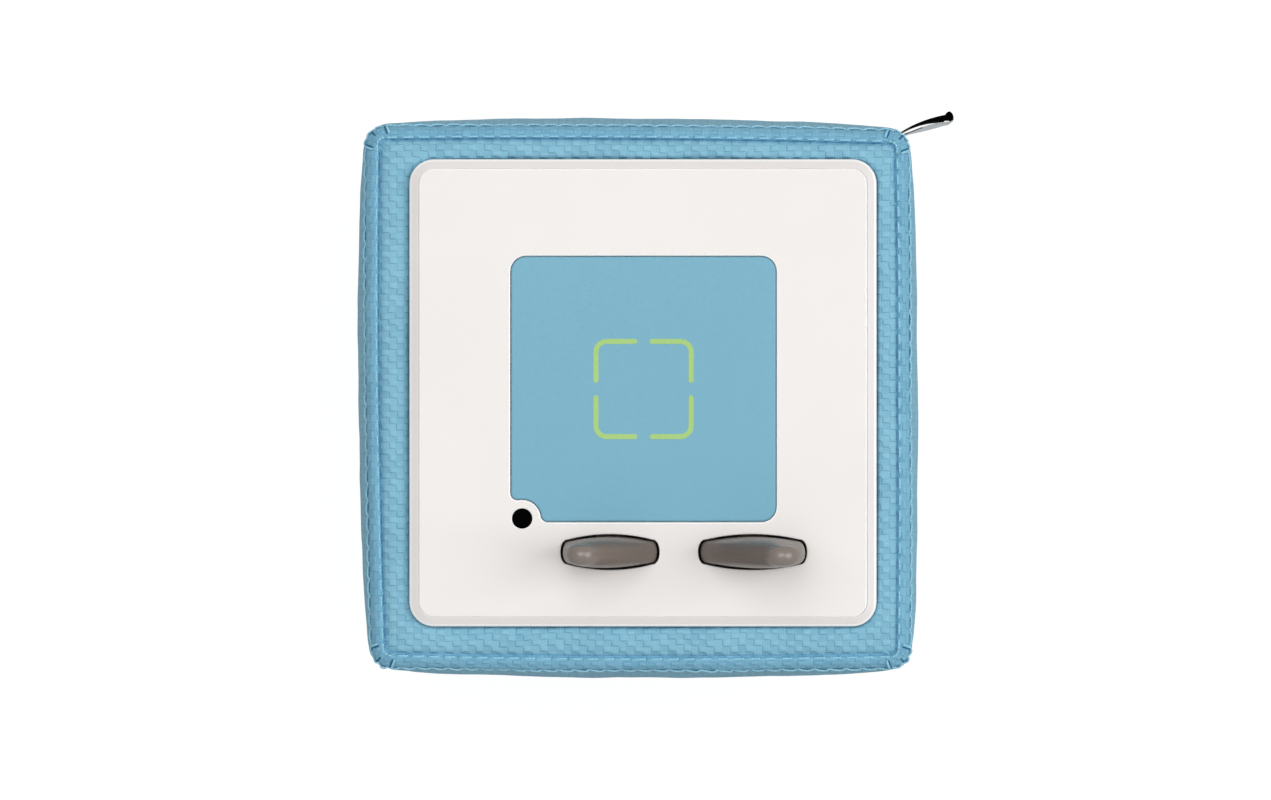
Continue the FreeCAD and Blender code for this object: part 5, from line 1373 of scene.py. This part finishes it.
def lens_shape():
    """Round lens with a polished, slightly domed face."""
    bm = bmesh.new()
    top = lens_high.z
    low = lens_low.z
    rim = lens_radius
    turned(bm, (
        (0.0, low), (rim - 0.1, low), (rim, low + 0.1), (rim, top - 0.16), (rim - 0.03, top - 0.1),
        (rim - 0.1, top - 0.05), (rim - 0.22, top - 0.035), (rim * 0.6, top - 0.012), (0.0, top),
    ), (lens_middle.x, lens_middle.y, 0.0))
    outward(bm)
    return bm


plate = piece("plate_face", plate_shape(),
              [plate_plastic, slot_shadow, polished_highlight_edge, shaded_ring_plastic],
              replaced=["top_plate"])
sharpened(plate, 50.0)
piece("pad", pad_shape(), [pad_rubber], replaced=["figure_pad"])
piece("printed_marks", marks_shape(), [mark_ink], replaced=["target_marks"])
piece("lens", lens_shape(), [smoked_lens], replaced=["status_lens"])


# ---------------------------------------------------------------- ears
def arc_at(points, level, side):
    """Across place of an arc through three (across, up) points at one height."""
    (x1, y1), (x2, y2), (x3, y3) = points
    twice = 2.0 * (x1 * (y2 - y3) + x2 * (y3 - y1) + x3 * (y1 - y2))
    s1, s2, s3 = x1 * x1 + y1 * y1, x2 * x2 + y2 * y2, x3 * x3 + y3 * y3
    cx = (s1 * (y2 - y3) + s2 * (y3 - y1) + s3 * (y1 - y2)) / twice
    cy = (s1 * (x3 - x2) + s2 * (x1 - x3) + s3 * (x2 - x1)) / twice
    radius = math.hypot(x1 - cx, y1 - cy)
    return cx + side * math.sqrt(max(0.0, radius ** 2 - (level - cy) ** 2))


def scaled(points, half, height):
    """An outline's shares turned into millimetres."""
    return [(x * half, y * height) for x, y in points]


def best_side(points, level):
    """Side of the circle that passes nearest to the chord of an arc."""
    (x1, y1), (x2, y2), (x3, y3) = sorted(points, key=lambda p: p[1])
    guess = x2 + (level - y2) * (x3 - x1) / (y3 - y1)
    return min((-1.0, 1.0), key=lambda s: abs(arc_at(points, level, s) - guess))


def side_share(level):
    """Thickness of an ear as a share of its foot, from the plate to its shoulder."""
    points = ((0.5, 0.0), (waist_half_share, 0.5), (tip_half_share, 1.0))
    return 2.0 * arc_at(points, level, best_side(points, level))


def fin_edges(levels, half, height):
    """(inner, outer) place of a fin's edges at each level, blended into the tip."""
    inner_points = scaled(inner_edge, half, height)
    outer_points = scaled(outer_edge, half, height)
    tip_points = scaled(tip_edge, half, height)
    edges = []
    for up in levels:
        inner = arc_at(inner_points, up, best_side(inner_points, up))
        outer = arc_at(outer_points, up, best_side(outer_points, up))
        if up > inner_points[2][1]:
            inner = arc_at(tip_points, up, -1.0)
        if up > outer_points[0][1]:
            outer = arc_at(tip_points, up, 1.0)
        edges.append((inner, outer))
    for _ in range(fin_blends):
        edges = edges[:1] + [
            tuple((a + 2.0 * b + c) / 4.0 for a, b, c in zip(*three))
            for three in zip(edges, edges[1:], edges[2:])
        ] + edges[-1:]
    return edges


def ear_shape(node, length, height, x, lean, tip_shift):
    """Fin that rises from a blunt lens in its slot to a rounded, leaning tip."""
    thickness = slot_width - 2.0 * slot_gap
    tip_radius = thickness * tip_half_share
    shoulder = height - tip_radius
    low = plate_top - plate_thickness - fin_root
    rings = [lens_section(length, thickness, x, ear_y, z) for z in (low, plate_top)]
    levels = [height * (1.0 - (1.0 - row / fin_rows) ** 2) for row in range(1, fin_rows + 1)]
    for up, (inner, outer) in zip(levels, fin_edges(levels, length / 2.0, height)):
        if up < shoulder:
            deep = thickness * side_share(up / shoulder)
        else:
            deep = 2.0 * math.sqrt(max(0.0, tip_radius ** 2 - (up - shoulder) ** 2))
        middle = (inner + outer) / 2.0 + tip_shift * (up / height) ** 2
        roundness = min(1.0, up / height * oval_rise) ** oval_power
        rings.append(lens_section(
            outer - inner, deep, x + lean * middle, ear_y, plate_top + up, roundness
        ))
    bm = bmesh.new()
    skin(bm, rings)
    fill(bm, low)
    outward(bm)
    kept_copy(bm, node, low)
    return bm


for ear, node, high, slot, x, lean, tip_shift, finish in (
    ("small_ear", "ear_small", small_high, small_slot, small_x, -1.0, small_tip_shift,
     small_ear_plastic),
    ("large_ear", "ear_large", large_high, large_slot, large_x, 1.0, large_tip_shift,
     large_ear_plastic),
):
    shape = ear_shape(node, slot - 2.0 * slot_gap, high.z - plate_top, x, lean, tip_shift)
    made = piece(ear + "_fin", shape, [finish], body=ear, replaced=[node])
    sharpened(made, 50.0)


# ---------------------------------------------------------------- base, feet and socket
def contact_places():
    """Middles of the dock contacts in plan."""
    turns = [math.pi / 2.0 + 2.0 * math.pi * i / contact_count for i in range(contact_count)]
    return [(contact_circle * math.cos(a), contact_circle * math.sin(a)) for a in turns]


def base_shape():
    """Base plate with a rounded edge, the dock recess and holes for feet and screws."""
    bm = bmesh.new()
    low, top = base_low.z, base_top
    kept_copy(bm, "base_plate", top + kept_gap, above=True)
    kept = set(bm.verts)

    def edge(out):
        return square_outline(base_high.x + out, base_corner + out)

    def dock(out):
        return round_outline(dock_radius + out, 0.0, 0.0, dock_steps)

    def well(x, y, radius, level, rows):
        skin(bm, rings_at(level, rows, lambda out: round_outline(
            radius + out, x, y, round_steps)))

    lower = ((-0.9, 0.0), (-0.55, 0.0), (-0.22, 0.09), (-0.05, 0.28), (0.0, 0.55))
    upper = ((0.0, -0.3), (-0.08, -0.1), (-0.3, 0.0), (-0.6, 0.0))
    skin(bm, rings_at(low, lower, edge) + rings_at(top, upper, edge))
    mouth = ((0.7, 0.0), (0.4, 0.0), (0.18, 0.05), (0.05, 0.17), (0.0, 0.4))
    floor = ((0.0, -0.5), (-0.15, -0.15), (-0.5, 0.0), (-0.8, 0.0))
    skin(bm, rings_at(low, mouth, dock) + rings_at(dock_top, floor, dock))
    for at, radius, depth in (
        (foot_at, foot_radius + foot_gap, foot_well_depth),
        (base_screw_at, base_counterbore, base_counterbore_depth),
    ):
        for sx, sy in quarters:
            well(sx * at, sy * at, radius, low,
                 ((0.35, 0.0), (0.12, 0.0), (0.0, 0.12), (0.0, depth)))
            fill(bm, low + depth, kept)
    for x, y in contact_places():
        well(x, y, contact_radius, dock_top,
             ((0.5, 0.0), (0.25, 0.0), (0.06, 0.06), (0.06, contact_hole_depth)))
    for level in (dock_top, low, top):
        fill(bm, level, kept)
    bmesh.ops.remove_doubles(bm, verts=[v for v in bm.verts if v not in kept], dist=same_cut)
    return bm


def feet_shape():
    """Round rubber feet with a soft edge."""
    bm = bmesh.new()
    top = feet_high.z
    for sx, sy in quarters:
        turned(bm, (
            (0.0, 0.0), (foot_radius - 1.0, 0.0), (foot_radius - 0.5, 0.05),
            (foot_radius - 0.15, 0.2), (foot_radius, 0.5), (foot_radius, top), (0.0, top),
        ), (sx * foot_at, sy * foot_at, 0.0))
    outward(bm)
    return bm


def base_screw_shape():
    """Pan heads with a cross recess, on the CAD shanks."""
    bm = bmesh.new()
    low = base_screws_low.z
    top = low + base_head_height
    slim = cross_half_width
    cross = []
    for turn in range(4):
        quarter = Matrix.Rotation(math.pi / 2.0 * turn, 2)
        cross += [quarter @ Vector(p)
                  for p in ((cross_arm, -slim), (cross_arm, slim), (slim, slim))]
    head = ((0.0, base_head_height), (0.0, 0.75), (-0.15, 0.35), (-0.6, 0.06), (-0.95, 0.0),
            (-1.1, 0.0))
    for sx, sy in quarters:
        here = Vector((sx * base_screw_at, sy * base_screw_at))
        skin(bm, rings_at(low, head, lambda out: round_outline(
            base_screw_head + out, *here, round_steps)))
        skin(bm, [at_height([here + p * share for p in cross], low + up)
                  for share, up in ((1.0, 0.0), (cross_taper, cross_depth))])
        fill(bm, low + cross_depth)
    fill(bm, low)
    fill(bm, top)
    outward(bm)
    kept_copy(bm, "base_screws", top - kept_gap, above=True)
    return bm


def contacts_shape():
    """Gilt contact pins with domed faces."""
    bm = bmesh.new()
    low, high = contacts_low.z, contacts_high.z
    for x, y in contact_places():
        turned(bm, (
            (0.0, low), (contact_radius * 0.5, low + 0.03), (contact_radius * 0.8, low + 0.12),
            (contact_radius * 0.96, low + 0.3), (contact_radius, low + 0.5),
            (contact_radius, high), (0.0, high),
        ), (x, y, 0.0))
    outward(bm)
    return bm


def socket_ring_shape():
    """Flanged ring round the socket, rounded where it lies on the cloth."""
    bm = bmesh.new()
    outer = flange_radius
    bore = ring_bore
    back = ring_low.y
    front = ring_high.y
    turned(bm, (
        (bore, back), (outer - 0.1, back), (outer, back + 0.12), (outer, front - 0.5),
        (outer - 0.14, front - 0.2), (outer - 0.45, front), (bore + 0.5, front),
        (bore + 0.12, front - 0.12), (bore, front - 0.4), (bore, back),
    ), (ring_middle.x, 0.0, ring_middle.z), (0, 1, 0), socket_steps)
    outward(bm)
    return bm


def socket_shape():
    """Headphone socket: a black barrel with a bevelled mouth and a deep bore."""
    bm = bmesh.new()
    mouth = jack_high.y
    inside = mouth - socket_depth
    back = jack_low.y
    shoulder = back + socket_foot_height
    turned(bm, (
        (0.0, inside), (socket_bore, inside), (socket_bore, mouth - 0.9),
        (socket_bore + 0.55, mouth - 0.25), (socket_bore + 0.9, mouth - 0.06),
        (socket_barrel - 0.35, mouth), (socket_barrel - 0.06, mouth - 0.12),
        (socket_barrel, mouth - 0.4), (socket_barrel, shoulder), (socket_foot, shoulder),
        (socket_foot, back), (0.0, back),
    ), (ring_middle.x, 0.0, ring_middle.z), (0, 1, 0), socket_steps)
    outward(bm)
    return bm


shell = piece("base_shell", base_shape(), [base_plastic],
              replaced=["base_plate"])
sharpened(shell, 40.0)
piece("rubber_feet", feet_shape(), [foot_rubber], replaced=["feet"])
heads = piece("cross_screws", base_screw_shape(), [zinc_steel],
              replaced=["base_screws"])
sharpened(heads, 30.0)
piece("gilt_contacts", contacts_shape(), [gilt_brass],
      replaced=["dock_contacts"])
piece("socket_ring", socket_ring_shape(), [plate_plastic],
      replaced=["jack_ring"])
piece("socket", socket_shape(), [smoked_lens], replaced=["headphone_jack"])


# ---------------------------------------------------------------- floor, lights and camera
def straight_seen(tree):
    """One for what the camera sees straight, mirrored or through a clear piece, else nought."""
    path = add(tree, "ShaderNodeLightPath")
    seen = add(tree, "ShaderNodeMath", {
        0: path.outputs["Is Camera Ray"], 1: path.outputs["Is Glossy Ray"],
    }, operation="MAXIMUM")
    return add(tree, "ShaderNodeMath", {
        0: seen, 1: path.outputs["Is Transmission Ray"],
    }, operation="MAXIMUM")


def floor_finish():
    """Matt white sheet that shows white to the camera and keeps the player's soft shadow."""
    made, tree, shader = blank("white_sheet", 0.9, Specular_IOR_Level=0.0)
    seen = straight_seen(tree)
    bounce = add(tree, "ShaderNodeBsdfDiffuse", {"Color": linear("#e0dfde")})
    faint = add(tree, "ShaderNodeBsdfDiffuse", {"Color": floor_grey})
    place = add(tree, "ShaderNodeTexCoord").outputs["Object"]
    away = add(tree, "ShaderNodeVectorMath", {0: place}, operation="LENGTH").outputs["Value"]
    strength = add(tree, "ShaderNodeMapRange", {
        "Value": away, "From Min": glow_near[0], "From Max": glow_far[0],
        "To Min": glow_near[1], "To Max": glow_far[1],
    })
    glow = add(tree, "ShaderNodeEmission", {"Color": white, "Strength": strength})
    both = add(tree, "ShaderNodeAddShader", {0: faint, 1: glow})
    mixed = add(tree, "ShaderNodeMixShader", {0: seen, 1: bounce, 2: both})
    tree.nodes.remove(shader)
    plug(tree, tree.nodes["Material Output"], {"Surface": mixed})
    return made


floor_mesh = bmesh.new()
bmesh.ops.create_grid(floor_mesh, x_segments=1, y_segments=1, size=floor_half)
sheet = bpy.data.meshes.new("floor")
floor_mesh.to_mesh(sheet)
floor_mesh.free()
sheet.materials.append(floor_finish())
floor = bpy.data.objects.new("floor", sheet)
bpy.context.collection.objects.link(floor)

world = bpy.data.worlds.new("studio")
world.use_nodes = True
bpy.context.scene.world = world
sky = world.node_tree
white_seen = straight_seen(sky)
around = add(sky, "ShaderNodeMix", {"Factor": white_seen, 6: sky_grey, 7: white},
             data_type="RGBA")
plug(sky, sky.nodes["Background"], {"Color": around.outputs[2]})


def soft_light(name, width, length, power, place):
    """Large softbox, measured in metres and watts, that points at the player."""
    data = bpy.data.lights.new(name, "AREA")
    data.shape = "RECTANGLE"
    data.size = width
    data.size_y = length
    data.energy = power
    data.color = linear(softbox_white)[:3]
    lamp = bpy.data.objects.new(name, data)
    lamp.location = place
    aim = Vector(softbox_aim) - Vector(place)
    lamp.rotation_euler = aim.to_track_quat("-Z", "Y").to_euler()
    bpy.context.collection.objects.link(lamp)


soft_light("rear_softbox", 1.1, 1.0, 11.0, (-0.20, 0.26, 1.75))
soft_light("right_softbox", 1.0, 1.4, 13.8, (1.25, 0.10, 1.45))

camera_data = bpy.data.cameras.new("camera")
camera_data.sensor_width = camera_sensor
camera_data.lens = camera_lens
camera_data.clip_start = 0.01
camera = bpy.data.objects.new("camera", camera_data)
camera.location = camera_place
bpy.context.collection.objects.link(camera)
bpy.context.scene.camera = camera
bpy.context.scene.view_settings.view_transform = "Standard"
